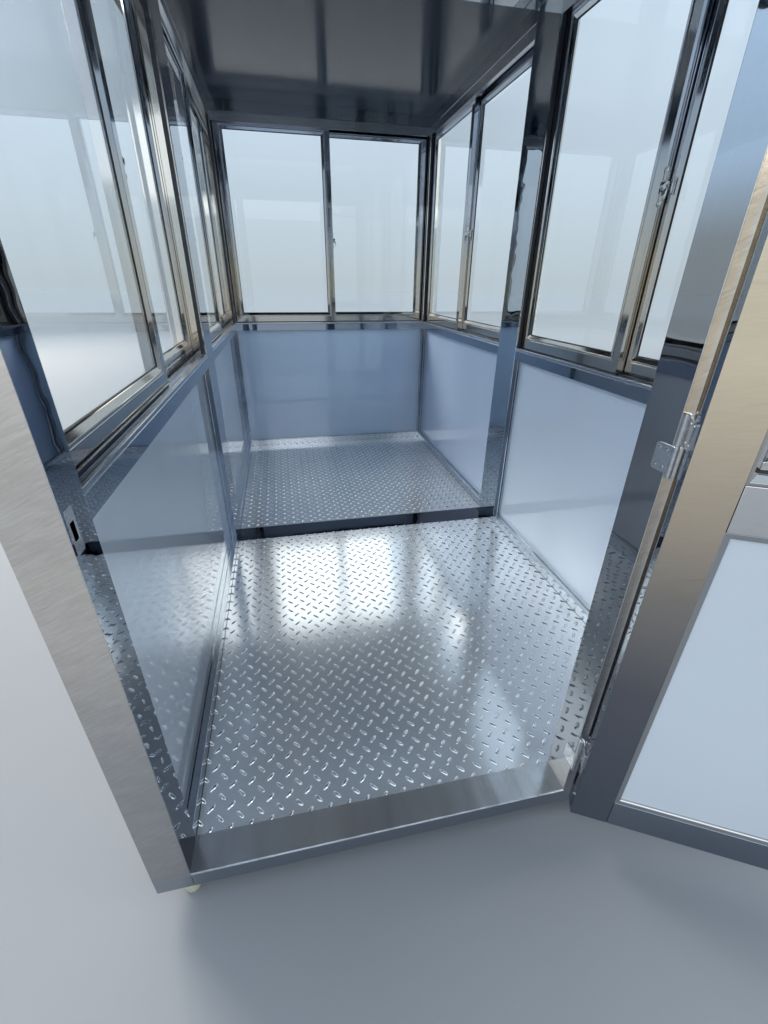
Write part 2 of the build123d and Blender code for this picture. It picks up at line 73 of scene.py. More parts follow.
# ---------------------------------------------------------------------------
# material kit
# ---------------------------------------------------------------------------
class Mat:
    """A small helper round one material's node tree."""

    def __init__(self, name):
        self.m = bpy.data.materials.new(name)
        self.m.use_nodes = True
        self.nt = self.m.node_tree
        self.bsdf = self.nt.nodes["Principled BSDF"]
        self.co = self.node("ShaderNodeTexCoord").outputs["Object"]

    def node(self, kind, **kw):
        n = self.nt.nodes.new(kind)
        for k, v in kw.items():
            setattr(n, k, v)
        return n

    def link(self, a, b):
        self.nt.links.new(a, b)

    def mapped(self, scale, rot=None, loc=(0, 0, 0)):
        """Coordinates turned by rot and then stretched, so a long grain can slant."""
        start = self.co
        if rot:
            n = self.node("ShaderNodeMapping")
            n.inputs["Rotation"].default_value = rot
            self.link(start, n.inputs["Vector"])
            start = n.outputs["Vector"]
        n = self.node("ShaderNodeMapping")
        n.inputs["Scale"].default_value = scale
        n.inputs["Location"].default_value = loc
        self.link(start, n.inputs["Vector"])
        return n.outputs["Vector"]

    def noise(self, scale, vec=None, detail=2.0, rough=0.5, distort=0.0):
        n = self.node("ShaderNodeTexNoise")
        n.inputs["Scale"].default_value = scale
        n.inputs["Detail"].default_value = detail
        n.inputs["Roughness"].default_value = rough
        n.inputs["Distortion"].default_value = distort
        self.link(vec if vec is not None else self.co, n.inputs["Vector"])
        return n.outputs["Fac"]

    def span(self, value, lo, hi, to_lo, to_hi, smooth=False):
        n = self.node("ShaderNodeMapRange")
        n.clamp = True
        if smooth:
            n.interpolation_type = "SMOOTHSTEP"
        for i, v in zip(("From Min", "From Max", "To Min", "To Max"), (lo, hi, to_lo, to_hi)):
            n.inputs[i].default_value = v
        self.link(value, n.inputs["Value"])
        return n.outputs["Result"]

    def math(self, op, a, b=None):
        n = self.node("ShaderNodeMath", operation=op)
        for i, v in enumerate((a, b)):
            if v is None:
                continue
            if isinstance(v, (int, float)):
                n.inputs[i].default_value = v
            else:
                self.link(v, n.inputs[i])
        return n.outputs[0]

    def mix(self, fac, a, b):
        n = self.node("ShaderNodeMix")
        n.data_type = "RGBA"
        for i, v in ((0, fac), (6, a), (7, b)):
            if isinstance(v, (int, float)):
                n.inputs[i].default_value = v
            elif isinstance(v, tuple):
                n.inputs[i].default_value = (*v, 1.0)
            else:
                self.link(v, n.inputs[i])
        return n.outputs[2]

    def bump(self, heights):
        """Chains (height socket, strength, distance) into one normal."""
        last = None
        for h, strength, distance in heights:
            b = self.node("ShaderNodeBump")
            b.inputs["Strength"].default_value = strength
            b.inputs["Distance"].default_value = distance
            self.link(h, b.inputs["Height"])
            if last is not None:
                self.link(last, b.inputs["Normal"])
            last = b.outputs["Normal"]
        self.link(last, self.bsdf.inputs["Normal"])

    def graded(self, colour, stops, lo=0.05, hi=1.35):
        """Multiplies a colour by one that changes with height, which paints reflection and shade by height. stops:
        (height in metres, (r, g, b)).
        """
        hi = max(hi, stops[-1][0])
        split = self.node("ShaderNodeSeparateXYZ")
        self.link(self.co, split.inputs[0])
        ramp = self.node("ShaderNodeValToRGB")
        marks = ramp.color_ramp.elements
        while len(marks) < len(stops):
            marks.new(0.5)
        for e, (z, c) in zip(marks, stops):
            e.position = (z - lo) / (hi - lo)
            e.color = (*c, 1.0)
        self.link(self.span(split.outputs["Z"], lo, hi, 0.0, 1.0), ramp.inputs["Fac"])
        n = self.node("ShaderNodeMix")
        n.data_type = "RGBA"
        n.blend_type = "MULTIPLY"
        n.inputs[0].default_value = 1.0
        self.link(colour, n.inputs[6])
        self.link(ramp.outputs["Color"], n.inputs[7])
        return n.outputs[2]

    def set(self, **kw):
        for k, v in kw.items():
            self.bsdf.inputs[k.replace("_", " ")].default_value = v
        return self


# Height grades multiplied into the brushed steel's colour. They are painted reflection: darker and bluer towards the
# foot, where the steel would mirror dark, shaded ground, and full colour higher up.
POST_PAINTED_REFLECTION = [(0.06, (0.42, 0.465, 0.545)), (0.50, (0.56, 0.61, 0.69)), (0.86, (0.93, 0.94, 0.95)), (1.12, (1.0, 1.0, 1.0))]
DOOR_PAINTED_REFLECTION = [(0.15, (0.20, 0.28, 0.47)), (0.56, (0.25, 0.30, 0.46)), (0.80, (0.46, 0.50, 0.60)), (0.96, (0.78, 0.78, 0.80)), (1.10, (1.0, 1.0, 1.0))]
RAIL_PAINTED_REFLECTION = [(0.15, (0.28, 0.33, 0.41)), (0.80, (0.70, 0.73, 0.76)), (1.10, (1.0, 1.0, 1.0))]


def brushed(name, tint=(1.0, 0.895, 0.79), rough=(0.15, 0.22), grain=(26, 26, 950), bumpiness=0.02, smudge=0.55, contrast=0.03, strokes=0.42, grade=None):
    """Stainless with a grain that runs level round the piece, polishing swirls and a few darker rubs."""
    k = Mat(name)
    k.set(Metallic=1.0, Anisotropic=0.45)
    around = k.node("ShaderNodeTangent", direction_type="RADIAL", axis="Z")
    k.link(around.outputs["Tangent"], k.bsdf.inputs["Tangent"])
    fine = k.noise(1.0, k.mapped(grain), detail=2.0, rough=0.6)
    stroke = k.noise(1.0, k.mapped((grain[0] * 0.8, grain[1] * 0.8, grain[2] * 0.42), loc=(3, 7, 1)), detail=3.0, rough=0.6)
    swirl = k.noise(1.0, k.mapped((9, 9, 30), rot=(0.10, -0.12, 0.0), loc=(1, 4, 2)), detail=3.0, rough=0.55, distort=0.6)
    cloud = k.noise(1.7, detail=2.0, rough=0.5, distort=0.2)
    both = k.math("ADD", k.math("MULTIPLY", fine, 0.6), k.math("MULTIPLY", stroke, 0.4))
    base = k.mix(k.span(both, 0.36, 0.64, 0.0, 1.0), tuple(c * (1 - contrast) for c in tint), tuple(min(1, c * (1 + contrast)) for c in tint))
    base = k.mix(k.span(cloud, 0.35, 0.7, 0.0, 0.5), base, tuple(c * 0.90 for c in tint))
    base = k.mix(k.span(swirl, 0.36, 0.66, 0.0, strokes), base, tuple(c * 0.80 for c in tint))
    slant = k.noise(1.0, k.mapped((22, 22, 260), rot=(-0.34, 0.40, 0.0), loc=(8, 3, 6)), detail=5.0, rough=0.72, distort=0.5)
    base = k.mix(k.span(slant, 0.42, 0.68, 0.0, strokes), base, tuple(c * 0.62 for c in tint))
    base = k.mix(k.span(slant, 0.42, 0.30, 0.0, strokes), base, tuple(min(1.0, c * 1.25) for c in tint))
    rub = k.span(k.noise(1.0, k.mapped((8, 8, 90), rot=(-0.30, 0.34, 0.0), loc=(5, 2, 9)), detail=3.0, rough=0.6), 0.68, 0.77, 0.0, smudge, smooth=True)
    base = k.mix(rub, base, tuple(c * 0.55 for c in tint))
    k.link(k.graded(base, grade) if grade else base, k.bsdf.inputs["Base Color"])
    r = k.math("ADD", k.span(both, 0.35, 0.65, rough[0], rough[1]), k.span(swirl, 0.38, 0.68, -0.02, 0.03))
    k.link(r, k.bsdf.inputs["Roughness"])
    k.bump([(fine, bumpiness, 0.0003), (swirl, 0.03, 0.0006), (k.noise(1.3, detail=1.0), 0.15, 0.003)])
    return k.m


def polished(name, tint=(0.345, 0.38, 0.425), rough=(0.010, 0.022), wave=0.32, grain=(300, 300, 6), ripple=0.14, grade=None):
    """Bright stainless: a near mirror with a soft waviness, small ripples and hairlines."""
    k = Mat(name)
    k.set(Metallic=1.0)
    hair = k.noise(1.0, k.mapped(grain), detail=2.0, rough=0.7)
    base = k.mix(k.span(hair, 0.3, 0.7, 0.0, 1.0), tuple(c * 0.985 for c in tint), tuple(min(1, c * 1.015) for c in tint))
    k.link(k.graded(base, grade) if grade else base, k.bsdf.inputs["Base Color"])
    k.link(k.span(hair, 0.3, 0.75, rough[0], rough[1]), k.bsdf.inputs["Roughness"])
    k.bump([(k.noise(1.0, k.mapped((2.5, 2.5, 7.0)), detail=1.5, rough=0.4), wave, 0.0035),
            (k.noise(1.0, k.mapped((16, 16, 34), loc=(2, 1, 5)), detail=0.0), ripple, 0.0012)])
    return k.m


# the default tint is a blue-grey that paints the white laminate as it looks in shade
def laminate(name, tint=(0.53, 0.585, 0.68), rough=0.16, coat=1.0, level=0.5, wipes=0.05, sheen=(1.0, 1.0, 1.0), gloss=2.05):
    """Glossy wall laminate, almost flat, with a trace of wiped dust."""
    k = Mat(name)
    k.set(IOR=1.5, Specular_IOR_Level=level, Specular_Tint=(*sheen, 1.0))
    cloud = k.noise(1.7, detail=2.0, rough=0.5)
    dust = k.noise(24.0, detail=3.0, rough=0.6)
    base = k.mix(k.span(cloud, 0.3, 0.7, 0.0, 1.0), tuple(c * 0.975 for c in tint), tuple(min(1, c * 1.02) for c in tint))
    k.link(base, k.bsdf.inputs["Base Color"])
    k.link(k.span(dust, 0.35, 0.75, rough, rough + wipes), k.bsdf.inputs["Roughness"])
    k.bump([(k.noise(1.6, detail=1.0), 0.10, 0.0015)])
    k.set(Coat_Weight=coat, Coat_Roughness=0.008, Coat_IOR=gloss)
    return k.m


def plate(name, tint, rough, metal=0.86, scuffs=0.12):
    """Rolled tread plate: a soft mirror over its own grey, faint foot scuffs and dried water marks."""
    k = Mat(name)
    k.set(Metallic=metal)
    stain = k.noise(2.2, detail=3.0, rough=0.5, distort=0.3)
    scuff = k.noise(1.0, k.mapped((34, 60, 50)), detail=4.0, rough=0.7)
    base = k.mix(k.span(stain, 0.36, 0.66, 0.0, 1.0), tuple(c * 0.95 for c in tint), tuple(min(1, c * 1.03) for c in tint))
    base = k.mix(k.span(scuff, 0.62, 0.78, 0.0, scuffs), base, tuple(c * 0.70 for c in tint))
    k.link(base, k.bsdf.inputs["Base Color"])
    k.link(k.math("ADD", k.span(stain, 0.3, 0.7, rough[1], rough[0]), k.span(scuff, 0.4, 0.75, 0.0, 0.02)), k.bsdf.inputs["Roughness"])
    k.bump([(k.noise(3.5, detail=1.0), 0.16, 0.0010)])
    return k.m


def sheet_steel(name, tint=(0.90, 0.90, 0.915), rough=(0.21, 0.25), metal=0.9, wear=0.30):
    """Stainless sheet, satin, with soft wear streaks running across it."""
    k = Mat(name)
    k.set(Metallic=metal)
    streak = k.noise(1.0, k.mapped((17.0, 1.6, 3.0), loc=(4, 1, 1)), detail=3.0, rough=0.55, distort=0.15)
    cloud = k.noise(2.4, detail=2.0, rough=0.5)
    base = k.mix(k.span(cloud, 0.35, 0.65, 0.0, 1.0), tuple(c * 0.95 for c in tint), tuple(min(1, c * 1.03) for c in tint))
    base = k.mix(k.span(streak, 0.42, 0.66, 0.0, 1.0), base, tuple(c * (1 - wear) for c in tint))
    rub = k.noise(1.0, k.mapped((5.5, 0.7, 2.0), loc=(9, 2, 3)), detail=2.0, rough=0.6, distort=0.1)
    base = k.mix(k.span(rub, 0.52, 0.70, 0.0, 1.0), base, tuple(min(1, c * (1 + wear)) for c in tint))
    k.link(base, k.bsdf.inputs["Base Color"])
    k.link(k.span(streak, 0.35, 0.7, rough[0], rough[1]), k.bsdf.inputs["Roughness"])
    k.bump([(cloud, 0.05, 0.0008)])
    return k.m


def rubber(name, tint=(0.012, 0.012, 0.013), rough=0.55):
    k = Mat(name)
    n = k.noise(120.0, detail=3.0)
    k.link(k.mix(k.span(n, 0.3, 0.7, 0.0, 1.0), tint, tuple(c * 2.2 for c in tint)), k.bsdf.inputs["Base Color"])
    k.link(k.span(n, 0.3, 0.7, rough - 0.1, rough + 0.1), k.bsdf.inputs["Roughness"])
    k.bump([(k.noise(600.0, detail=1.0), 0.15, 0.0002)])
    return k.m


def moulded(name, tint, rough=0.45):
    k = Mat(name)
    n = k.noise(45.0, detail=4.0, rough=0.6)
    k.link(k.mix(k.span(n, 0.35, 0.7, 0.0, 1.0), tint, tuple(c * 0.8 for c in tint)), k.bsdf.inputs["Base Color"])
    k.link(k.span(n, 0.3, 0.7, rough, rough + 0.2), k.bsdf.inputs["Roughness"])
    k.bump([(k.noise(500.0, detail=2.0), 0.2, 0.0003)])
    return k.m


def clear_glass(name):
    """Clear float glass: see-through with its own gloss and a few wipe marks. Lamps shine through it."""
    k = Mat(name)
    k.set(Metallic=0.0, IOR=1.5, Roughness=0.0, Alpha=1.0)
    k.bsdf.inputs["Transmission Weight"].default_value = 1.0
    k.bsdf.inputs["Base Color"].default_value = (0.95, 0.985, 0.98, 1.0)
    wipe = k.noise(1.0, k.mapped((5, 5, 16)), detail=4.0, rough=0.65, distort=0.5)
    k.link(k.span(wipe, 0.60, 0.78, 0.0, 0.035, smooth=True), k.bsdf.inputs["Roughness"])
    path = k.node("ShaderNodeLightPath")
    clear = k.node("ShaderNodeBsdfTransparent")
    clear.inputs["Color"].default_value = (0.93, 0.96, 0.955, 1.0)
    join = k.node("ShaderNodeMixShader")
    through = k.math("MAXIMUM", path.outputs["Is Shadow Ray"], path.outputs["Is Diffuse Ray"])
    k.link(through, join.inputs[0])
    k.link(k.bsdf.outputs[0], join.inputs[1])
    k.link(clear.outputs[0], join.inputs[2])
    out = [n for n in k.nt.nodes if n.type == "OUTPUT_MATERIAL"][0]
    k.link(join.outputs[0], out.inputs["Surface"])
    return k.m


M = {
    "brushed_stainless": brushed("brushed_stainless", grade=POST_PAINTED_REFLECTION),
    # the door's golden tint is a painted warm reflection, and its grade and the rails' grade darken and blue it towards
    # the floor as a painted reflection of dark ground
    "door_brushed": brushed("door_brushed", tint=(1.0, 0.80, 0.575), contrast=0.05, smudge=0.22, strokes=0.10, grade=DOOR_PAINTED_REFLECTION),
    "door_rails": brushed("door_rails", tint=(0.92, 0.87, 0.83), contrast=0.03, smudge=0.10, strokes=0.06, grade=RAIL_PAINTED_REFLECTION),
    "polished_stainless": polished("polished_stainless"),
    # the sashes are painted lighter and warmer at latch height and bluer near the top: painted reflection
    "sash_stainless": polished("sash_stainless", tint=(0.44, 0.445, 0.45), rough=(0.05, 0.10), wave=0.2, ripple=0.05,
                               grade=[(0.96, (1.08, 1.06, 1.04)), (1.12, (1.28, 1.16, 1.00)), (1.36, (1.32, 1.19, 1.02)), (1.62, (0.94, 0.98, 1.05)), (2.0, (0.84, 0.92, 1.05))]),
    "tread_aluminium": plate("tread_plate", (0.89, 0.915, 0.955), (0.13, 0.165), metal=0.64),
    # a darker, greyer copy of the same plate for the rear sheet: painted shade
    "tread_aluminium_rear_shaded": plate("tread_plate_rear", (0.74, 0.755, 0.775), (0.13, 0.165), metal=0.64),
    "tread_lug": plate("tread_lug", (0.98, 0.975, 0.96), (0.085, 0.12), metal=1.0, scuffs=0.0),
    # dark navy below the sill is painted shade; the warm tone above it is a painted reflection
    "shade_stainless": polished("shade_stainless", tint=(0.98, 0.98, 0.98), rough=(0.06, 0.10), ripple=0.05,
                                grade=[(0.90, (0.115, 0.15, 0.205)), (1.02, (0.26, 0.26, 0.27)), (1.10, (0.74, 0.62, 0.48)), (1.34, (0.70, 0.68, 0.62))]),
    "rail_stainless": polished("rail_stainless", tint=(0.33, 0.37, 0.43), rough=(0.015, 0.030), wave=0.16, ripple=0.06),
    "kick_stainless": polished("kick_stainless", tint=(0.56, 0.60, 0.65), rough=(0.13, 0.19), wave=0.12, ripple=0.02),
    # the jamb's room face grows bright and blue towards the top: painted sky reflection
    "jamb_stainless": polished("jamb_stainless", tint=(0.40, 0.405, 0.415), grade=[(1.36, (0.92, 0.90, 0.89)), (1.45, (1.40, 1.58, 1.80)), (1.75, (1.60, 1.80, 2.05))]),
    # a lighter copy of the polished stainless for the right middle post: painted light
    "mid_stainless_lit": polished("mid_stainless_lit", tint=(0.50, 0.55, 0.60)),
    "track_stainless": polished("track_stainless", tint=(0.46, 0.49, 0.54), rough=(0.17, 0.24), wave=0.05, grain=(40, 40, 300), ripple=0.0),
    "joint_steel": polished("joint_steel", tint=(0.125, 0.12, 0.135)),
    # the blue-grey tint here is painted shade on a white laminate
    "white_laminate": laminate("white_laminate"),
    # the ceiling is painted near black with its gloss tinted blue: painted shade and a painted sky-blue reflection
    "ceiling_laminate": laminate("ceiling_laminate", tint=(0.028, 0.037, 0.054), rough=0.13, coat=0.0, level=0.22, wipes=0.02, sheen=(0.72, 0.84, 1.0)),
    "clear_glass": clear_glass("clear_glass"),
    "galvanised_base": brushed("galvanised_base", tint=(0.30, 0.305, 0.31), rough=(0.30, 0.45), grain=(40, 40, 40)),
    "cream_plastic": moulded("cream_plastic", (0.62, 0.58, 0.42)),
    "hinge_steel": brushed("hinge_steel", tint=(0.78, 0.78, 0.77), rough=(0.12, 0.22), grain=(200, 200, 900)),
    "threshold": sheet_steel("threshold_sheet"),
    # a darker, bluer copy of the sheet for the front edge: painted shade
    "threshold_shaded_edge": sheet_steel("threshold_shaded_edge", tint=(0.34, 0.38, 0.45), rough=(0.16, 0.22)),
    # lit and shaded copies of the same white laminate, one per wall: painted light and shade
    "laminate_left": laminate("laminate_left", tint=(0.50, 0.54, 0.595), gloss=2.4),
    "laminate_right": laminate("laminate_right", tint=(0.74, 0.83, 0.99)),
    "laminate_right_rear": laminate("laminate_right_rear", tint=(0.56, 0.66, 0.87)),
    "laminate_rear": laminate("laminate_rear", tint=(0.535, 0.675, 0.87), coat=0.45),
    "roof_sheet": sheet_steel("roof_sheet", tint=(0.30, 0.305, 0.31), rough=(0.66, 0.76), metal=0.45, wear=0.08),
    "gasket": rubber("gasket"),
    "pile_strip": rubber("pile_strip", tint=(0.020, 0.024, 0.036), rough=0.42),
    "latch_metal": brushed("latch_metal", tint=(0.60, 0.61, 0.62), rough=(0.18, 0.28), grain=(120, 120, 400)),
    # the door's near-white copy of the same laminate: painted light
    "door_laminate": laminate("door_laminate", tint=(0.92, 0.955, 1.0)),
    "chrome": polished("chrome", tint=(0.68, 0.68, 0.68), rough=(0.05, 0.12), wave=0.05),
    "dark_gap": rubber("dark_gap", tint=(0.004, 0.004, 0.005), rough=0.7),
}


# ---------------------------------------------------------------------------
# mesh kit
# ---------------------------------------------------------------------------
def finish_mesh(name, bm, mat, body, bevel=0.0, segments=2, angle=28.0, merge=True):
    """Turns a bmesh (metres) into a piece that rides on a body."""
    if merge:
        bmesh.ops.remove_doubles(bm, verts=bm.verts, dist=1e-6)
    bmesh.ops.recalc_face_normals(bm, faces=bm.faces)
    if bevel:
        edges = [e for e in bm.edges if len(e.link_faces) == 2 and e.calc_face_angle(0) > math.radians(angle)]
        made = bmesh.ops.bevel(bm, geom=edges, offset=bevel * MM, segments=segments, profile=0.5, affect="EDGES", clamp_overlap=True)
        for f in made["faces"]:
            f.smooth = True
    me = bpy.data.meshes.new(name)
    bm.to_mesh(me)
    bm.free()
    me.materials.append(M[mat] if isinstance(mat, str) else mat)
    o = bpy.data.objects.new(name, me)
    bpy.context.scene.collection.objects.link(o)
    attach(o, body)
    return o


def add_box(bm, x0, x1, y0, y1, z0, z1, place=None):
    vs = []
    for x, y, z in ((x0, y0, z0), (x1, y0, z0), (x1, y1, z0), (x0, y1, z0), (x0, y0, z1), (x1, y0, z1), (x1, y1, z1), (x0, y1, z1)):
        p = Vector((x, y, z))
        if place:
            p = place @ p
        vs.append(bm.verts.new(p * MM))
    for f in ((0, 3, 2, 1), (4, 5, 6, 7), (0, 1, 5, 4), (1, 2, 6, 5), (2, 3, 7, 6), (3, 0, 4, 7)):
        bm.faces.new([vs[i] for i in f])
    return vs


def add_prism(bm, outline, place, length):
    """A closed outline (x, y) drawn in place's own XY plane and drawn out along its Z."""
    a = [bm.verts.new((place @ Vector((x, y, 0))) * MM) for x, y in outline]
    b = [bm.verts.new((place @ Vector((x, y, length))) * MM) for x, y in outline]
    n = len(outline)
    for i in range(n):
        bm.faces.new((a[i], a[(i + 1) % n], b[(i + 1) % n], b[i]))
    bm.faces.new(list(reversed(a)))
    bm.faces.new(b)


def add_lathe(bm, profile, place, steps=24):
    """Turns (radius, height) points about place's Z axis. A radius of 0 closes the end."""
    rings = []
    for r, h in profile:
        if r <= 1e-6:
            rings.append([bm.verts.new((place @ Vector((0, 0, h))) * MM)])
        else:
            rings.append([bm.verts.new((place @ Vector((r * math.cos(2 * math.pi * i / steps), r * math.sin(2 * math.pi * i / steps), h))) * MM)
                          for i in range(steps)])
    for p, q in zip(rings, rings[1:]):
        for i in range(steps):
            j = (i + 1) % steps
            if len(p) == 1 and len(q) == 1:
                continue
            if len(p) == 1:
                bm.faces.new((p[0], q[i], q[j]))
            elif len(q) == 1:
                bm.faces.new((p[i], p[j], q[0]))
            else:
                bm.faces.new((p[i], p[j], q[j], q[i]))


def plane_matrix(origin, u, v, n):
    return Matrix(((u[0], v[0], n[0], origin[0]), (u[1], v[1], n[1], origin[1]), (u[2], v[2], n[2], origin[2]), (0, 0, 0, 1)))


# Wall planes: u along the wall (its own run), v up, n inward into the room.
def wall(side, start):
    if side == "left":
        return plane_matrix((-XI, start, 0), (0, 1, 0), (0, 0, 1), (1, 0, 0))
    if side == "right":
        return plane_matrix((XI, start, 0), (0, -1, 0), (0, 0, 1), (-1, 0, 0))
    if side == "rear":
        return plane_matrix((start, YBI, 0), (1, 0, 0), (0, 0, 1), (0, -1, 0))
    return plane_matrix((start, YFI, 0), (-1, 0, 0), (0, 0, 1), (0, 1, 0))


BAYS = {
    "left_front": ("left", YFI, BAY),
    "left_rear": ("left", MID_HALF, BAY),
    "right_front": ("right", -MID_HALF, BAY),
    "right_rear": ("right", YBI, BAY),
    "rear": ("rear", -XI, 2 * XI),
    "front": ("front", XI, XI - JAMB_X1),
}
SASHES = {
    "left_front": ((6.0, 731.0), (731.0 - OVERLAP, BAY - 6.0)),
    "left_rear": ((6.0, 641.0), (641.0 - OVERLAP, BAY - 6.0)),
    "right_front": ((6.0, 671.0), (671.0 - OVERLAP, BAY - 6.0)),
    "right_rear": ((6.0, 701.0), (701.0 - OVERLAP, BAY - 6.0)),
    "rear": ((6.0, 708.0), (656.0, 2 * XI - 6.0)),
}


def add_ring(bm, place, rect, widths, profile, lip):
    """A four-sided frame with mitred corners. profile is (share, extra, depth): a point's distance in from a side's outer edge is share * (side width - lip) + extra."""
    u0, u1, v0, v1 = rect
    left, right, low, top = widths
    corners = []
    for cu, cv in ((0, 0), (1, 0), (1, 1), (0, 1)):
        row = []
        for share, extra, depth in profile:
            u = u0 + share * (left - lip) + extra if cu == 0 else u1 - share * (right - lip) - extra
            v = v0 + share * (low - lip) + extra if cv == 0 else v1 - share * (top - lip) - extra
            row.append(bm.verts.new((place @ Vector((u, v, depth))) * MM))
        corners.append(row)
    n = len(profile)
    for c in range(4):
        a, b = corners[c], corners[(c + 1) % 4]
        for i in range(n):
            j = (i + 1) % n
            bm.faces.new((a[i], b[i], b[j], a[j]))


def screw(bm, place, r=4.2, h=1.6, cross=True):
    """A pan-head screw on place's XY plane, standing along +Z. The cross argument is not used."""
    add_lathe(bm, [(r, 0), (r, h * 0.35), (r * 0.86, h * 0.78), (r * 0.5, h), (0.0, h * 1.04)], place, 16)


# ---------------------------------------------------------------------------
# every carried-over node gets its finish, and the nodes listed in EASED are rebuilt, most with eased edges
# ---------------------------------------------------------------------------
EASED = {
    "base_side_rails": 2.0, "base_end_rails": 2.0, "door_header": 1.4, "kick_rails": 1.0, "sill_rails": 0.4, "head_rails": 0.6,
    "ceiling_joint_beam": 1.6, "door_panel": 0.8, "strike_plate": 0.5, "floor_joint_strip": 1.0, "door_threshold": 0.9, "roof_deck": 2.5, "roof_cap": 0.8,
    "post_front_left": 0.0, "post_front_right": 0.0, "post_rear_left": 0.0, "post_rear_right": 0.0, "post_mid_left": 0.0,
    "post_mid_right": 0.0, "door_jamb_post": 0.0, "panels_right": 0.4, "panel_rear": 0.4,
}
# these are polished in the room and in the doorway, and brushed where they face out
TWO_FINISH = ("post_front_left", "post_front_right", "post_rear_left", "post_rear_right", "post_mid_left", "post_mid_right", "door_jamb_post",
              "door_header", "kick_rails", "sill_rails", "head_rails")
for name, o in nodes.items():
    o.data.materials.clear()
    o.data.materials.append(M[slot_of[name]])

# the same white laminate gets a differently lit copy on each wall and on the door: painted light and shade, near white
# on the door, darker on the left wall
nodes["panels_left"].data.materials[0] = M["laminate_left"]
nodes["panel_front"].data.materials[0] = M["door_laminate"]
WALL_PAINTED_LIGHT = {"panels_right": ("laminate_right", "laminate_right_rear"), "panel_rear": ("laminate_rear", "laminate_rear")}
for name, width in EASED.items():
    bm = bmesh.new()
    bm.from_mesh(nodes[name].data)
    bmesh.ops.remove_doubles(bm, verts=bm.verts, dist=1e-6)
    bmesh.ops.dissolve_limit(bm, angle_limit=math.radians(1.0), verts=bm.verts, edges=bm.edges)
    mat = {"roof_deck": "roof_sheet", "roof_cap": "roof_sheet", "door_threshold": "threshold", "door_panel": "door_laminate", "floor_joint_strip": "joint_steel"}.get(name, slot_of[name])
    o = finish_mesh(name + "_eased", bm, mat, body_of[name], bevel=width)
    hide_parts(name)
    for shade in WALL_PAINTED_LIGHT.get(name, ()):
        o.data.materials.append(M[shade])
    if name in WALL_PAINTED_LIGHT:
        for f in o.data.polygons:
            inward = f.normal.x < -0.5 if name == "panels_right" else f.normal.y < -0.5
            f.material_index = 0 if not inward else 1 if f.center.y < STRIP_Y0 * MM else 2
    if name == "door_threshold":
        # the folded front edge is painted darker and bluer than the top, as shade
        o.data.materials.append(M["threshold_shaded_edge"])
        for f in o.data.polygons:
            f.material_index = 1 if f.normal.y < -0.8 else 0
    if name in TWO_FINISH:
        o.data.materials.clear()
        o.data.materials.append(M["polished_stainless"])
        o.data.materials.append(M["brushed_stainless"])
        for f in o.data.polygons:
            c, nrm = f.center, f.normal
            outward = (abs(c.x) > (XO - 1.6) * MM and nrm.x * c.x > 0) or (abs(c.y) > (YB - 1.6) * MM and nrm.y * c.y > 0)
            f.material_index = 1 if outward else 0
        if name.startswith("post_mid") or name.startswith("post_rear"):
            # the narrow returns that face the door get painted shade below the sill, where they stand in each other's
            # shade, and a painted warm reflection above it
            o.data.materials.append(M["shade_stainless"])
            for f in o.data.polygons:
                if f.normal.y < -0.9 and f.material_index == 0:
                    f.material_index = 2
        # the jamb post's room faces carry the painted sky reflection
        if name == "door_jamb_post":
            o.data.materials[0] = M["jamb_stainless"]
        # the right middle post's room face gets the lighter copy: painted light
        if name == "post_mid_right":
            o.data.materials[0] = M["mid_stainless_lit"]
        if name == "kick_rails":
            o.data.materials[0] = M["kick_stainless"]
        if name in ("sill_rails", "head_rails"):
            # satin in the tracks, polished where it faces the room
            o.data.materials[0] = M["rail_stainless"]
            o.data.materials.append(M["track_stainless"])
            for f in o.data.polygons:
                z = f.center.z / MM
                if f.material_index == 0 and (z > SILL_LIP - 16 if name == "sill_rails" else z < HEAD_LINE - 12):
                    f.material_index = 2

# ---------------------------------------------------------------------------
# tread plate lugs: two crossed rows of raised lens shapes
# ---------------------------------------------------------------------------
LUG_PX, LUG_PY = 48.25, 54.3


def add_lug(bm, x, y, z, turn):
    c, s = math.cos(turn), math.sin(turn)
    L, W, H = 13.8, 5.0, 2.4
    rings = []
    for scale_l, scale_w, h in ((1.0, 1.0, 0.0), (0.95, 0.84, H * 0.30), (0.85, 0.62, H * 0.62), (0.70, 0.37, H * 0.87), (0.52, 0.12, H)):
        ring = []
        for i in range(10):
            t = 2 * math.pi * i / 10
            # a superellipse with pointed-round ends
            px = L * scale_l * math.copysign(abs(math.cos(t)) ** 0.9, math.cos(t))
            py = W * scale_w * math.copysign(abs(math.sin(t)) ** 0.85, math.sin(t))
            ring.append(bm.verts.new(Vector((x + px * c - py * s, y + px * s + py * c, z + h)) * MM))
        rings.append(ring)
    for p, q in zip(rings, rings[1:]):
        for i in range(10):
            j = (i + 1) % 10
            f = bm.faces.new((p[i], p[j], q[j], q[i]))
            f.smooth = True
    f = bm.faces.new(rings[-1])
    f.smooth = True


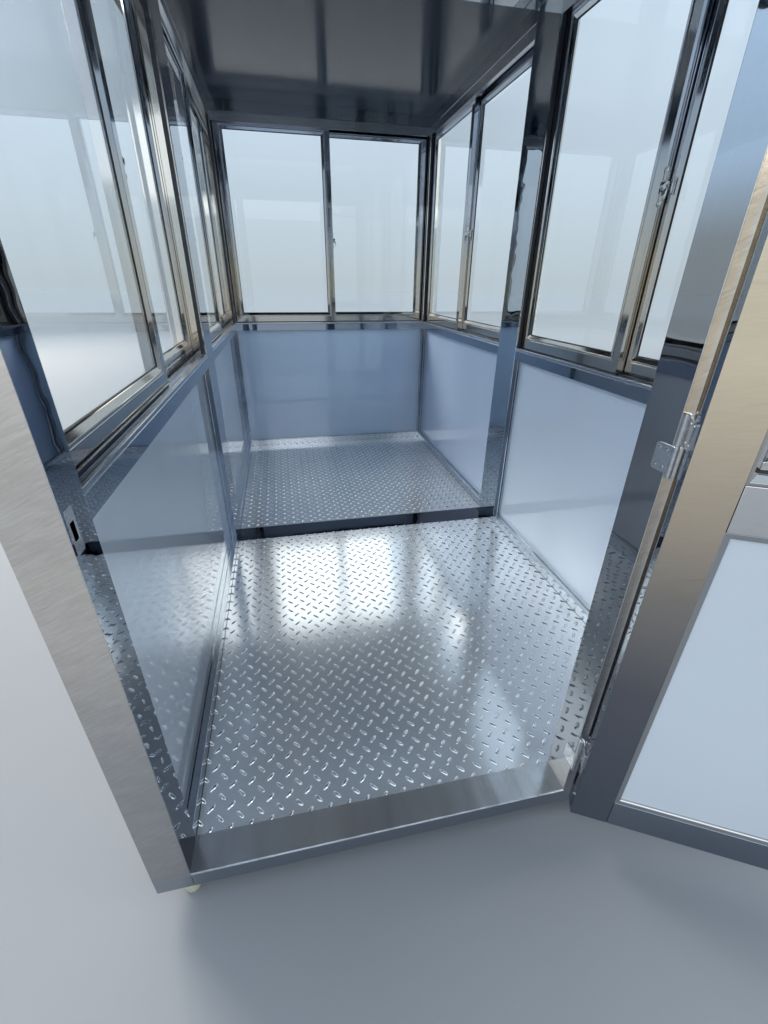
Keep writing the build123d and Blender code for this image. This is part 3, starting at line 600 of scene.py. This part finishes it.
for name, y0, y1, phase in (("tread_lugs_front", YFI, STRIP_Y0, (0.0, 0.0)), ("tread_lugs_rear", STRIP_Y1, YBI, (11.0, 17.0))):
    bm = bmesh.new()
    for kind, ox, oy, turn in (("down", 50.6, 110.0, math.radians(-47)), ("up", 26.5, 82.9, math.radians(45))):
        i0 = ox - XI + phase[0]
        j0 = oy + YF + phase[1]
        for i in range(-1, 30):
            x = i0 + i * LUG_PX
            if not -XI - 8 < x < XI + 8:
                continue
            for j in range(-2, 60):
                y = j0 + j * LUG_PY
                if y0 - 8 < y < y1 + 8:
                    add_lug(bm, x, y, FLOOR_Z - 0.05, turn)
    # the sheet was cut from a larger one, so lugs on its edge are cut through
    for at, out in (((-XI + 1.2, 0, 0), (-1, 0, 0)), ((XI - 1.2, 0, 0), (1, 0, 0)), ((0, y0 + 1.2, 0), (0, -1, 0)), ((0, y1 - 1.2, 0), (0, 1, 0))):
        bmesh.ops.bisect_plane(bm, geom=bm.verts[:] + bm.edges[:] + bm.faces[:], dist=1e-7, plane_co=Vector(at) * MM, plane_no=out, clear_outer=True)
    finish_mesh(name, bm, "tread_lug", "booth", merge=False)

# the rear sheet gets the darker copy of the plate: painted shade
nodes["tread_plate_rear"].data.materials[0] = M["tread_aluminium_rear_shaded"]

# dark joints round each floor sheet
bm = bmesh.new()
for y0, y1 in ((YFI, STRIP_Y0), (STRIP_Y1, YBI)):
    for x0, x1, a, b in ((-XI, -XI + 1.2, y0, y1), (XI - 1.2, XI, y0, y1), (-XI, XI, y0, y0 + 1.4), (-XI, XI, y1 - 1.4, y1)):
        add_box(bm, x0, x1, a, b, FLOOR_Z - 0.2, FLOOR_Z + 0.15)
finish_mesh("floor_joints", bm, "dark_gap", "booth", merge=False)

# ---------------------------------------------------------------------------
# sliding sashes: mitred frames with a stepped glazing bead and dark seals
# ---------------------------------------------------------------------------
SASH_PROFILE = [
    # share, extra, depth: room side first, then round the glass edge and back outside
    (0, 0, 0), (1, -1.6, 0), (1, 0, -1.2), (1, 1.2, -1.2), (1, 2.0, 0.9), (1, 5.6, 0.9), (1, 6.6, -0.6), (1, 18.6, -7.0), (1, 20.0, -8.4),
    (1, 20.0, -SASH_T + 8.4), (1, 18.6, -SASH_T + 7.0), (1, 5.5, -SASH_T), (0, 0, -SASH_T),
]
for bay, (side, start, length) in BAYS.items():
    if bay == "front":
        continue
    bm = bmesh.new()
    seal = bmesh.new()
    for k, (a, b) in enumerate(SASHES[bay]):
        depth = TRACK_IN if k == 0 else TRACK_OUT
        place = wall(side, start) @ Matrix.Translation((0, 0, -depth))
        add_ring(bm, place, (a, b, SASH_BOT, SASH_TOP), (52, 52, 57, 44), SASH_PROFILE, 20.0)
        for d0, d1 in ((-8.2, -10.1), (-SASH_T + 8.2, -SASH_T + 10.1)):
            add_ring(seal, place, (a + 50.5, b - 50.5, SASH_BOT + 55.5, SASH_TOP - 42.5), (4, 4, 4, 4),
                     [(0, 0, d0), (0, 3.6, d0), (0, 4.2, d1), (0, 0, d1)], 0.0)
    node = "window_" + bay + "_sashes"
    o = finish_mesh(node + "_finish", bm, "sash_stainless", "booth", bevel=0.5, segments=1, merge=False)
    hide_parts(node)
    finish_mesh("window_" + bay + "_seals", seal, "gasket", "booth", merge=False)

# sill tracks: a rolled edge on the front lip, a flat ledge behind it, and a dark strip under each sash that paints the
# shadow in the gap beneath it
lips, ledges, gap_shadow_strips = bmesh.new(), bmesh.new(), bmesh.new()
for bay, (side, start, length) in BAYS.items():
    if bay == "front":
        continue
    place = wall(side, start)
    add_box(ledges, 1.5, length - 1.5, SILL_LIP - 7.5, SILL_LIP - 2.6, -18.4, -4.4, place)
    ring = [(1.3 * math.cos(math.radians(t)), 1.3 * math.sin(math.radians(t))) for t in range(-40, 221, 20)]
    # outline x runs out through the wall, y up, and z along the wall
    run = place @ Matrix(((0, 0, 1, 0.4), (0, 1, 0, SILL_LIP - 0.2), (-1, 0, 0, -2.2), (0, 0, 0, 1)))
    add_prism(lips, ring, run, length - 0.8)
    for k, (a, b) in enumerate(SASHES[bay]):
        depth = TRACK_IN if k == 0 else TRACK_OUT
        add_box(gap_shadow_strips, a + 1, b - 1, SILL_LIP - 2.5, SASH_BOT - 0.2, -depth - 4.6, -depth - 1.2, place)
finish_mesh("sill_lips", lips, "chrome", "booth", merge=False)
finish_mesh("sill_ledges", ledges, "track_stainless", "booth", bevel=0.4, segments=1, merge=False)
finish_mesh("sash_gap_shadow_strips", gap_shadow_strips, "pile_strip", "booth", merge=False)

# side jambs: a dark pile strip down each post edge, and a seal behind the end of each sash
pile = bmesh.new()
seal = bmesh.new()
for bay, (side, start, length) in BAYS.items():
    if bay == "front":
        continue
    place = wall(side, start)
    for u0, u1 in ((0.0, 1.2), (length - 1.2, length)):
        add_box(pile, u0, u1, SILL_LIP + 1, HEAD_BOT, -21.5, -6.5, place)
    add_box(seal, 0, 6.1, SASH_BOT, HEAD_BOT + 18, -TRACK_IN - 22, -TRACK_IN - 3, place)
    add_box(seal, length - 6.1, length, SASH_BOT, HEAD_BOT + 18, -TRACK_OUT - 22, -TRACK_OUT - 3, place)
finish_mesh("jamb_piles", pile, "pile_strip", "booth", bevel=0.3, segments=1, merge=False)
finish_mesh("jamb_seals", seal, "dark_gap", "booth", merge=False)

# the fixed pane beside the door is held by a bead on each side
beads, seal = bmesh.new(), bmesh.new()
place = wall("front", XI)
rect = (0, XI - JAMB_X1, SILL_LIP + 0.5, HEAD_BOT)
for prof in ([(0, 0, -41), (0, 12, -41), (0, 15, -43.5), (0, 16, -54.0), (0, 0, -54.0)], [(0, 0, -62.0), (0, 16, -62.0), (0, 15, -72.5), (0, 12, -75), (0, 0, -75)]):
    add_ring(beads, place, rect, (16, 16, 16, 16), prof, 0.0)
for d0, d1 in ((-53.6, -55.1), (-60.9, -62.4)):
    add_ring(seal, place, rect, (16, 16, 16, 16), [(0, 13.5, d0), (0, 17.6, d0), (0, 18.2, d1), (0, 13.5, d1)], 0.0)
finish_mesh("front_glazing_beads", beads, "sash_stainless", "booth", bevel=0.5, segments=1, merge=False)
finish_mesh("front_glazing_seals", seal, "gasket", "booth", merge=False)

# a slim bead round each laminate panel, in the room and outside
PANEL_IN, PANEL_T = 20.0, 45.0
bm = bmesh.new()
for bay, (side, start, length) in BAYS.items():
    place = wall(side, start)
    for face, out in ((-PANEL_IN, 1.0), (-PANEL_IN - PANEL_T, -1.0)):
        add_ring(bm, place, (0, length, KICK_TOP, SILL_BOT), (3, 3, 3, 3), [(0, 0, face - out), (0, 0, face + out * 1.2), (0, 1.8, face + out * 1.2), (0, 2.8, face - out)], 0.0)
finish_mesh("panel_edge_beads", bm, "sash_stainless", "booth", merge=False)

# ---------------------------------------------------------------------------
# roof: hemmed fascia with pan heads, standing seams down both slopes, hip and ridge caps
# ---------------------------------------------------------------------------
RX, RY = XO + 150.0, YB + 150.0
R0, R1, R2 = SOFFIT_Z, SOFFIT_Z + 70.0, SOFFIT_Z + 104.0
bm = bmesh.new()
for z0, z1 in ((R0 + 0.5, R0 + 14), (R1 - 7, R1 + 0.6)):
    for x0, x1, y0, y1 in ((-RX - 2, RX + 2, -RY - 2, -RY), (-RX - 2, RX + 2, RY, RY + 2), (-RX - 2, -RX, -RY, RY), (RX, RX + 2, -RY, RY)):
        add_box(bm, x0, x1, y0, y1, z0, z1)
finish_mesh("roof_hems", bm, "roof_sheet", "booth", bevel=0.7, segments=2, merge=False)


def roof_rib(bm, a, b, half, rise):
    """A low rib standing on the roof between two points on it."""
    a, b = Vector(a), Vector(b)
    along = (b - a).normalized()
    across = along.cross(Vector((0, 0, 1))).normalized()
    up = across.cross(along)
    place = Matrix(((across.x, up.x, along.x, a.x), (across.y, up.y, along.y, a.y), (across.z, up.z, along.z, a.z), (0, 0, 0, 1)))
    add_prism(bm, [(-half - 1.5, -1), (half + 1.5, -1), (half, rise), (-half, rise)], place, (b - a).length)


bm = bmesh.new()
CX, CY, TX, TY = RX - 6.0, RY - 6.0, 30.0, RY - RX + 30.0
for sx in (-1, 1):
    for y in (-720.0, -240.0, 240.0, 720.0):
        roof_rib(bm, (sx * TX, y, R2), (sx * (CX - 4), y, R1 + 0.2), 5.0, 7.0)
    for sy in (-1, 1):
        roof_rib(bm, (sx * TX, sy * TY, R2), (sx * (CX - 4), sy * (CY - 4), R1 + 0.3), 15.0, 2.2)
roof_rib(bm, (0, -TY, R2), (0, TY, R2), 34.0, 2.2)
finish_mesh("roof_seams", bm, "roof_sheet", "booth", bevel=0.8, segments=1, merge=False)
bm = bmesh.new()
for k in range(-4, 5):
    for s in (-1, 1):
        if abs(k) < 3:
            screw(bm, plane_matrix((k * 380.0, s * (RY + 2), R0 + 7), (1, 0, 0), (0, 0, s * -1), (0, s, 0)), 3.6, 1.4)
        screw(bm, plane_matrix((s * (RX + 2), k * 380.0, R0 + 7), (0, 1, 0), (0, 0, s), (s, 0, 0)), 3.6, 1.4)
finish_mesh("fascia_screws", bm, "chrome", "booth", merge=False)

# ---------------------------------------------------------------------------
# screws up both edges of the middle posts, in and out
# ---------------------------------------------------------------------------
SCREW_Z = [1842.0, 1581.0, 1320.0, 992.0, 762.0, 440.0, 210.0, 60.0, 2101.0]
bm = bmesh.new()
for s in (-1, 1):
    for y in (-MID_HALF + 6, MID_HALF - 6):
        for z in SCREW_Z:
            for x, out in ((s * XI, -s), (s * XO, s)):
                place = plane_matrix((x, y, FLOOR_Z + z), (0, 1, 0), (0, 0, 1) if out > 0 else (0, 0, -1), (out, 0, 0))
                screw(bm, place, 3.4, 1.5)
finish_mesh("post_screws", bm, "chrome", "booth", merge=False)

# ---------------------------------------------------------------------------
# door leaf: stiles and rails with open joints, beads and seals
# ---------------------------------------------------------------------------
A = math.radians(151.0)
DOOR = plane_matrix((PIN_X, PIN_Y, 0), (math.cos(A), math.sin(A), 0), (-math.sin(A), math.cos(A), 0), (0, 0, 1))
DH, DL, DO, DI = -7.0, -918.0, 7.0, 52.0
D_BOT, D_LOW, D_MID0, D_MID1, D_TOP0, D_TOP = FLOOR_Z + 6, FLOOR_Z + 88, FLOOR_Z + 825, FLOOR_Z + 908, FLOOR_Z + 1930, FLOOR_Z + 2013
STILE = 83.0
bm = bmesh.new()
g = 0.7
for x0, x1, z0, z1 in ((DL, DL + STILE, D_BOT, D_TOP), (DH - STILE, DH, D_BOT, D_TOP), (DL + STILE + g, DH - STILE - g, D_BOT, D_LOW),
                       (DL + STILE + g, DH - STILE - g, D_MID0, D_MID1), (DL + STILE + g, DH - STILE - g, D_TOP0, D_TOP)):
    add_box(bm, x0, x1, DO, DI, z0, z1, DOOR)
door_frame = finish_mesh("door_frame_finish", bm, "door_brushed", "door", bevel=1.3)
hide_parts("door_frame")
# the leaf's narrow edges are polished
door_frame.data.materials.append(M["polished_stainless"])
edge_dir = Vector((math.cos(A), math.sin(A), 0))
for f in door_frame.data.polygons:
    if abs(f.normal.dot(edge_dir)) > 0.9 or abs(f.normal.z) > 0.9:
        f.material_index = 1
# the rails are brushed their own way, with their own painted reflection that darkens and blues them towards the floor
door_frame.data.materials.append(M["door_rails"])
to_leaf = DOOR.inverted()
for f in door_frame.data.polygons:
    along = (to_leaf @ (f.center / MM)).x
    if f.material_index == 0 and DL + STILE < along < DH - STILE:
        f.material_index = 2

bm = bmesh.new()
for x in (DL + STILE, DH - STILE):
    for z0, z1 in ((D_BOT + 1, D_LOW - 1), (D_MID0 + 1, D_MID1 - 1), (D_TOP0 + 1, D_TOP - 1)):
        add_box(bm, x - 2, x + 2, DO + 1.6, DI - 1.6, z0, z1, DOOR)
finish_mesh("door_joints", bm, "dark_gap", "door", merge=False)

# Door planes for rings: u along the leaf, v up, n towards the room side (inner) or outside (outer).
D_IN = DOOR @ plane_matrix((DL + STILE, DI, 0), (1, 0, 0), (0, 0, 1), (0, 1, 0))
D_OUT = DOOR @ plane_matrix((DL + STILE, DO, 0), (1, 0, 0), (0, 0, 1), (0, -1, 0))
INNER_W = DH - DL - 2 * STILE
trim = bmesh.new()
for place, deep in ((D_IN, 8.0), (D_OUT, 6.0)):
    prof = [(0, 0, -1.5), (0, 1.5, -1.0), (0, 9.5, -2.2), (0, 12.0, -4.2), (0, 12.0, -deep - 0.5), (0, 0, -deep - 0.5)]
    add_ring(trim, place, (0, INNER_W, D_LOW, D_MID0), (12, 12, 12, 12), prof, 0.0)
finish_mesh("door_panel_beads", trim, "sash_stainless", "door", bevel=0.4, segments=1, merge=False)
bead = bmesh.new()
seal = bmesh.new()
for place, back in ((D_IN, 21.0), (D_OUT, 18.0)):
    prof = [(0, 0, -1.5), (0, 3.0, -1.0), (0, 5.0, -1.0), (0, 15.0, -back * 0.62), (0, 16.5, -back * 0.72), (0, 16.5, -back + 0.6), (0, 0, -back + 0.6)]
    add_ring(bead, place, (0, INNER_W, D_MID1, D_TOP0), (16, 16, 16, 16), prof, 0.0)
    add_ring(seal, place, (0, INNER_W, D_MID1, D_TOP0), (16, 16, 16, 16), [(0, 15.0, -back + 4.5), (0, 19.0, -back + 2.0), (0, 19.4, -back + 0.2), (0, 15.0, -back + 0.2)], 0.0)
finish_mesh("door_glazing_beads", bead, "sash_stainless", "door", bevel=0.4, segments=1, merge=False)
finish_mesh("door_glazing_seals", seal, "gasket", "door", merge=False)

# ---------------------------------------------------------------------------
# hinges: rounded leaves, domed knuckles and pan-head screws
# ---------------------------------------------------------------------------
HINGE_Z = [FLOOR_Z + 153.0, FLOOR_Z + 944.0, FLOOR_Z + 1735.0]


def leaf(bm, place, width, height, thick):
    """A leaf on place's XY plane from x = 0 to width, with its free corners rounded."""
    r = 5.0
    pts = [(0, 0), (width - r, 0)]
    pts += [(width - r + r * math.sin(t), r - r * math.cos(t)) for t in [math.radians(v) for v in (30, 60, 90)]]
    pts += [(width - r + r * math.cos(t), height - r + r * math.sin(t)) for t in [math.radians(v) for v in (0, 30, 60, 90)]]
    pts += [(0, height)]
    add_prism(bm, pts, place, thick)


fixed, moving, heads_f, heads_m = bmesh.new(), bmesh.new(), bmesh.new(), bmesh.new()
for z in HINGE_Z:
    pin = Matrix.Translation((PIN_X, PIN_Y, 0))
    add_lathe(fixed, [(0, z - 56.5), (4.5, z - 56), (6.2, z - 54.5), (6.5, z - 52), (6.5, z - 1), (6.0, z), (0, z)], pin, 28)
    add_lathe(moving, [(0, z + 0.5), (6.0, z + 0.5), (6.5, z + 1.5), (6.5, z + 52), (6.2, z + 54.5), (4.5, z + 56), (0, z + 56.5)], pin, 28)
    jamb = plane_matrix((JAMB_X0, PIN_Y, z - 49), (0, 1, 0), (0, 0, 1), (1, 0, 0)) @ Matrix.Translation((0, 0, -2.4))
    leaf(fixed, jamb, YF + 31 - PIN_Y, 47.0, 2.4)
    for u, v in ((14, 8), (30, 8), (14, 39), (30, 39)):
        screw(heads_f, plane_matrix((JAMB_X0 - 2.4, PIN_Y + u, z - 49 + v), (0, 1, 0), (0, 0, -1), (-1, 0, 0)), 3.6, 1.1)
    dplace = DOOR @ plane_matrix((DH, 0, z + 3), (0, 1, 0), (0, 0, 1), (1, 0, 0))
    leaf(moving, dplace, DO + 31, 47.0, 2.4)
    for u, v in ((14, 8), (30, 8), (14, 39), (30, 39)):
        screw(heads_m, DOOR @ plane_matrix((DH + 2.4, u, z + 3 + v), (0, 1, 0), (0, 0, 1), (1, 0, 0)), 3.6, 1.1)
o = finish_mesh("jamb_hinge_leaves_finish", fixed, "hinge_steel", "booth", merge=False)
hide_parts("jamb_hinge_leaves")
o = finish_mesh("door_hinge_leaves_finish", moving, "hinge_steel", "door", merge=False)
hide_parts("door_hinge_leaves")
finish_mesh("jamb_hinge_screws", heads_f, "chrome", "booth", merge=False)
finish_mesh("door_hinge_screws", heads_m, "chrome", "door", merge=False)

# ---------------------------------------------------------------------------
# lever handles, both sides of the leaf
# ---------------------------------------------------------------------------
LOCK_Z = FLOOR_Z + 870.0
HX = DL + 42.0


def add_tube(bm, points, radii, place, steps=16):
    """A round-ended bar along a row of points, each with its own (wide, high) radii."""
    rings = []
    for i, (p, r) in enumerate(zip(points, radii)):
        a, b = Vector(points[max(0, i - 1)]), Vector(points[min(len(points) - 1, i + 1)])
        d = (b - a).normalized()
        up = Vector((0, 0, 1))
        side = d.cross(up).normalized()
        ring = []
        for k in range(steps):
            t = 2 * math.pi * k / steps
            q = Vector(p) + side * (r[0] * math.cos(t)) + up * (r[1] * math.sin(t))
            ring.append(bm.verts.new((place @ q) * MM))
        rings.append(ring)
    for p, q in zip(rings, rings[1:]):
        for k in range(steps):
            j = (k + 1) % steps
            f = bm.faces.new((p[k], p[j], q[j], q[k]))
            f.smooth = True
    bm.faces.new(list(reversed(rings[0])))
    bm.faces.new(rings[-1])


bm = bmesh.new()
for s, face in ((-1, DO), (1, DI)):
    # the back plate, with rounded ends
    pts = []
    for cx, cz, t0 in ((0, 72, 0), (0, -72, 180)):
        pts += [(cx + 20 * math.cos(math.radians(t0 + t)), cz + 18 * math.sin(math.radians(t0 + t))) for t in range(0, 181, 15)]
    put = DOOR @ plane_matrix((HX, face, LOCK_Z), (1, 0, 0), (0, 0, 1), (0, s, 0))
    add_prism(bm, pts, put, 3.0)
    lathe = DOOR @ plane_matrix((HX, face, LOCK_Z + 22), (1, 0, 0), (0, 0, s), (0, s, 0))
    add_lathe(bm, [(13, 2.5), (13, 6), (11, 8), (8.5, 9.5), (8.5, 34), (0, 34)], lathe, 24)
    lathe = DOOR @ plane_matrix((HX, face, LOCK_Z - 40), (1, 0, 0), (0, 0, s), (0, s, 0))
    add_lathe(bm, [(8.5, 2.5), (8.5, 5.5), (7.5, 6.5), (0, 6.5)], lathe, 24)
    y = face + s * 42
    route = [(HX - 2, face + s * 30, LOCK_Z + 22), (HX + 0.5, face + s * 38, LOCK_Z + 22), (HX + 8, y + s * 1.5, LOCK_Z + 22), (HX + 24, y + s * 2, LOCK_Z + 21.5),
             (HX + 60, y + s * 1.0, LOCK_Z + 20.5), (HX + 92, y - s * 1, LOCK_Z + 20.5), (HX + 106, y - s * 6, LOCK_Z + 20.5), (HX + 111, y - s * 12, LOCK_Z + 20.5)]
    rad = [(8, 8), (8, 8.5), (7, 9), (6, 9.5), (5.5, 9.5), (5.5, 9), (5, 8.5), (3.5, 6.5)]
    add_tube(bm, route, rad, DOOR)
handle = finish_mesh("door_handle_finish", bm, "chrome", "door", merge=False)
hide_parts("door_handle")
handle.data.shade_smooth()
for f in handle.data.polygons:
    f.use_smooth = len(f.vertices) <= 4
bm = bmesh.new()
for s, face in ((-1, DO), (1, DI)):
    for dz in (-78, 78):
        screw(bm, DOOR @ plane_matrix((HX, face + s * 3, LOCK_Z + dz), (1, 0, 0), (0, 0, s), (0, s, 0)), 4.0, 1.4)
    # key slot
    add_box(bm, HX - 0.9, HX + 0.9, *sorted((face + s * 6.4, face + s * 6.9)), LOCK_Z - 45, LOCK_Z - 35, DOOR)
finish_mesh("door_handle_screws", bm, "chrome", "door", merge=False)
# lock case face on the leaf's edge
bm = bmesh.new()
add_box(bm, DL - 0.6, DL + 1, DO + 12, DO + 33, LOCK_Z - 75, LOCK_Z + 75, DOOR)
finish_mesh("lock_face", bm, "hinge_steel", "door", bevel=0.4)

# ---------------------------------------------------------------------------
# crescent latches: a two-screw base on the edge of the inner sash's meeting stile, a cam
# with a thumb lever, and a hooked keeper where the outer stile is bare
# ---------------------------------------------------------------------------
LATCH_Z = FLOOR_Z + 1425.0
CAM_AT = TRACK_IN + SASH_T / 2


def lobed(half_w, r, half_l):
    """A bar with a round lobe at each end, as a closed outline."""
    t0 = math.degrees(math.acos(half_w / r))
    pts = [(r * math.cos(math.radians(t)), half_l + r * math.sin(math.radians(t))) for t in [-t0 + i * (180 + 2 * t0) / 12 for i in range(13)]]
    return pts + [(-x, -y) for x, y in pts]


bm, heads = bmesh.new(), bmesh.new()
for bay, spans in SASHES.items():
    side, start, length = BAYS[bay]
    b = spans[0][1]
    # x goes out through the wall, y up, z along the wall off the sash's edge
    put = wall(side, start) @ Matrix.Translation((b, 0, 0)) @ Matrix(((0, 0, 1, 0), (0, 1, 0, 0), (-1, 0, 0, 0), (0, 0, 0, 1)))
    put = put @ Matrix.Translation((CAM_AT, LATCH_Z, 0))
    add_prism(bm, lobed(7.0, 9.0, 39.0), put, 2.6)
    add_lathe(bm, [(14.0, 2.4), (14.0, 11.6), (13.2, 13.2), (11.6, 14.0), (5.4, 14.0), (4.4, 13.2), (3.8, 9.5), (0, 9.5)], put, 32)
    arc = [(15.2 * math.cos(math.radians(t)), 15.2 * math.sin(math.radians(t))) for t in range(-70, 71, 14)]
    arc += [(9.0 + 4.0 * math.cos(math.radians(t)), 11.0 * math.sin(math.radians(t))) for t in range(70, -71, -20)]
    add_prism(bm, arc, put @ Matrix.Translation((0, 0, 11.0)), 4.2)
    add_tube(bm, [(-1, -6, 15.0), (-3.0, -16, 16.8), (-5.5, -27, 17.6), (-6.8, -33, 17.4)], [(4.6, 2.2), (4.4, 2.2), (5.2, 2.4), (3.4, 1.4)], put, 14)
    for v in (-39, 39):
        screw(heads, put @ Matrix.Translation((0, v, 2.6)), 5.2, 1.9)
    if spans[1][0] > b - 32:
        keep = wall(side, start) @ Matrix.Translation((b, LATCH_Z, 0))
        add_box(bm, 5, 25, -20, 20, -TRACK_OUT, -TRACK_OUT + 2, keep)
        add_box(bm, 17, 21, -16, 16, -TRACK_OUT + 1.8, -TRACK_OUT + 8, keep)
        for v in (-13, 13):
            screw(heads, keep @ Matrix.Translation((10.5, v, -TRACK_OUT + 2)), 2.8, 1.2)
finish_mesh("window_latch_screws", heads, "chrome", "booth", merge=False)
latches = finish_mesh("window_latches_finish", bm, "latch_metal", "booth", bevel=0.45, segments=2, angle=40.0, merge=False)
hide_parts("window_latches")

# ---------------------------------------------------------------------------
# levelling feet: a faceted moulded pad, lock nut and threaded stem
# ---------------------------------------------------------------------------
pads, stems = bmesh.new(), bmesh.new()
for sx in (-1, 1):
    for y in (YF + 40, 0.0, YB - 40):
        put = Matrix.Translation((sx * (XI + 20), y, 0)) @ Matrix.Rotation(0.3, 4, "Z")
        add_lathe(pads, [(0, 0), (17, 0), (20, 3), (20, 9), (16.5, 20), (11.5, 29), (9, 30), (0, 30)], put, 12)
        add_lathe(stems, [(0, 29), (13.5, 29), (14.5, 30), (14.5, 42), (13.5, 43), (8.2, 43)], put, 6)
        thread = [(8.2, 42.9)]
        z = 43.4
        while z < 72:
            thread += [(8.0, z), (7.1, z + 0.6)]
            z += 1.4
        add_lathe(stems, thread + [(7.6, 72.0)], put, 16)
o = finish_mesh("levelling_feet_finish", pads, "cream_plastic", "booth", merge=False)
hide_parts("levelling_feet")
finish_mesh("levelling_stems", stems, "galvanised_base", "booth", merge=False)

# ---------------------------------------------------------------------------
# stage, light and camera
# ---------------------------------------------------------------------------
# the stage floor is painted darker near the booth and lighter and warmer far out: painted shade round the booth and
# painted light that evens out the lamps' fall-off
floor_mat = Mat("stage_floor")
reach = floor_mat.node("ShaderNodeVectorMath", operation="LENGTH")
floor_mat.link(floor_mat.co, reach.inputs[0])
near = floor_mat.mix(floor_mat.span(floor_mat.noise(0.8, detail=3.0), 0.3, 0.7, 0.0, 1.0), (0.34, 0.34, 0.345), (0.36, 0.36, 0.365))
floor_mat.link(floor_mat.mix(floor_mat.span(reach.outputs["Value"], 4.0, 12.5, 0.0, 1.0, smooth=True), near, (0.70, 0.655, 0.61)), floor_mat.bsdf.inputs["Base Color"])
floor_mat.set(Roughness=0.7)
bm = bmesh.new()
bmesh.ops.create_grid(bm, x_segments=8, y_segments=8, size=60.0)
me = bpy.data.meshes.new("stage_floor")
bm.to_mesh(me)
bm.free()
me.materials.append(floor_mat.m)
ground = bpy.data.objects.new("stage_floor", me)
bpy.context.scene.collection.objects.link(ground)

world = bpy.data.worlds.new("studio")
bpy.context.scene.world = world
world.use_nodes = True
wn = world.node_tree
bg = wn.nodes["Background"]
co = wn.nodes.new("ShaderNodeTexCoord")
sep = wn.nodes.new("ShaderNodeSeparateXYZ")
wn.links.new(co.outputs["Generated"], sep.inputs["Vector"])
ramp = wn.nodes.new("ShaderNodeValToRGB")
ramp.color_ramp.elements[0].position = 0.0
ramp.color_ramp.elements[0].color = (0.47, 0.535, 0.59, 1)
ramp.color_ramp.elements[1].position = 1.0
ramp.color_ramp.elements[1].color = (0.66, 0.82, 1.0, 1)
mid = ramp.color_ramp.elements.new(0.3)
mid.color = (0.62, 0.74, 0.88, 1)
wn.links.new(sep.outputs["Z"], ramp.inputs["Fac"])
wn.links.new(ramp.outputs["Color"], bg.inputs["Color"])
bg.inputs["Strength"].default_value = 1.1


def softbox(name, at, to, size, power, colour=(1, 1, 1), card=False, through=False):
    light = bpy.data.lights.new(name, "AREA")
    light.shape = "RECTANGLE"
    light.size, light.size_y = size
    light.energy = power
    light.color = colour
    o = bpy.data.objects.new(name, light)
    bpy.context.scene.collection.objects.link(o)
    o.location = at
    o.rotation_euler = (Vector(to) - Vector(at)).to_track_quat("-Z", "Y").to_euler()
    o.visible_camera = False
    o.visible_transmission = through
    o.visible_diffuse = not card
    return o


softbox("key", (-5.6, 6.2, 7.0), (0, 0.0, 0.4), (4.4, 4.4), 900, (1.0, 0.95, 0.88))
softbox("fill", (4.6, -2.8, 3.6), (0, 0, 1.0), (2.6, 2.6), 60, (0.93, 0.96, 1.0))
softbox("back", (0.1, 6.2, 4.85), (-0.25, -0.57, 0.12), (3.0, 3.3), 46, (1.0, 0.92, 0.80), through=True)
softbox("side", (3.9, 5.6, 6.0), (-0.3, -0.8, 0.12), (1.5, 1.5), 26, (1.0, 0.94, 0.84), through=True)
softbox("sky_card", (-7.5, 3.5, 5.6), (0, 0, 0.3), (4.5, 3.2), 150, (1.0, 0.96, 0.90), card=True, through=True)
softbox("pale_card", (-0.6, -8.4, 4.2), (-0.6, 0, 1.6), (10.0, 3.2), 112, (1.0, 0.985, 0.97), card=True)

cam = bpy.data.cameras.new("camera")
cam.sensor_fit = "HORIZONTAL"
cam.sensor_width = 36.0
cam.lens = 448.53 / 768 * 36.0
cam.clip_end = 200.0
camera = bpy.data.objects.new("camera", cam)
bpy.context.scene.collection.objects.link(camera)
yaw, pitch, roll = math.radians(12.3196), math.radians(27.2616), math.radians(-0.6064)
fwd = Vector((math.sin(yaw) * math.cos(pitch), math.cos(yaw) * math.cos(pitch), -math.sin(pitch)))
right = Vector((math.cos(yaw), -math.sin(yaw), 0))
down = fwd.cross(right)
r2 = math.cos(roll) * right + math.sin(roll) * down
d2 = -math.sin(roll) * right + math.cos(roll) * down
camera.matrix_world = Matrix(((r2.x, -d2.x, -fwd.x, -0.37945), (r2.y, -d2.y, -fwd.y, -2.11877), (r2.z, -d2.z, -fwd.z, 1.30138), (0, 0, 0, 1)))
bpy.context.scene.camera = camera
bpy.context.scene.view_settings.view_transform = "Standard"
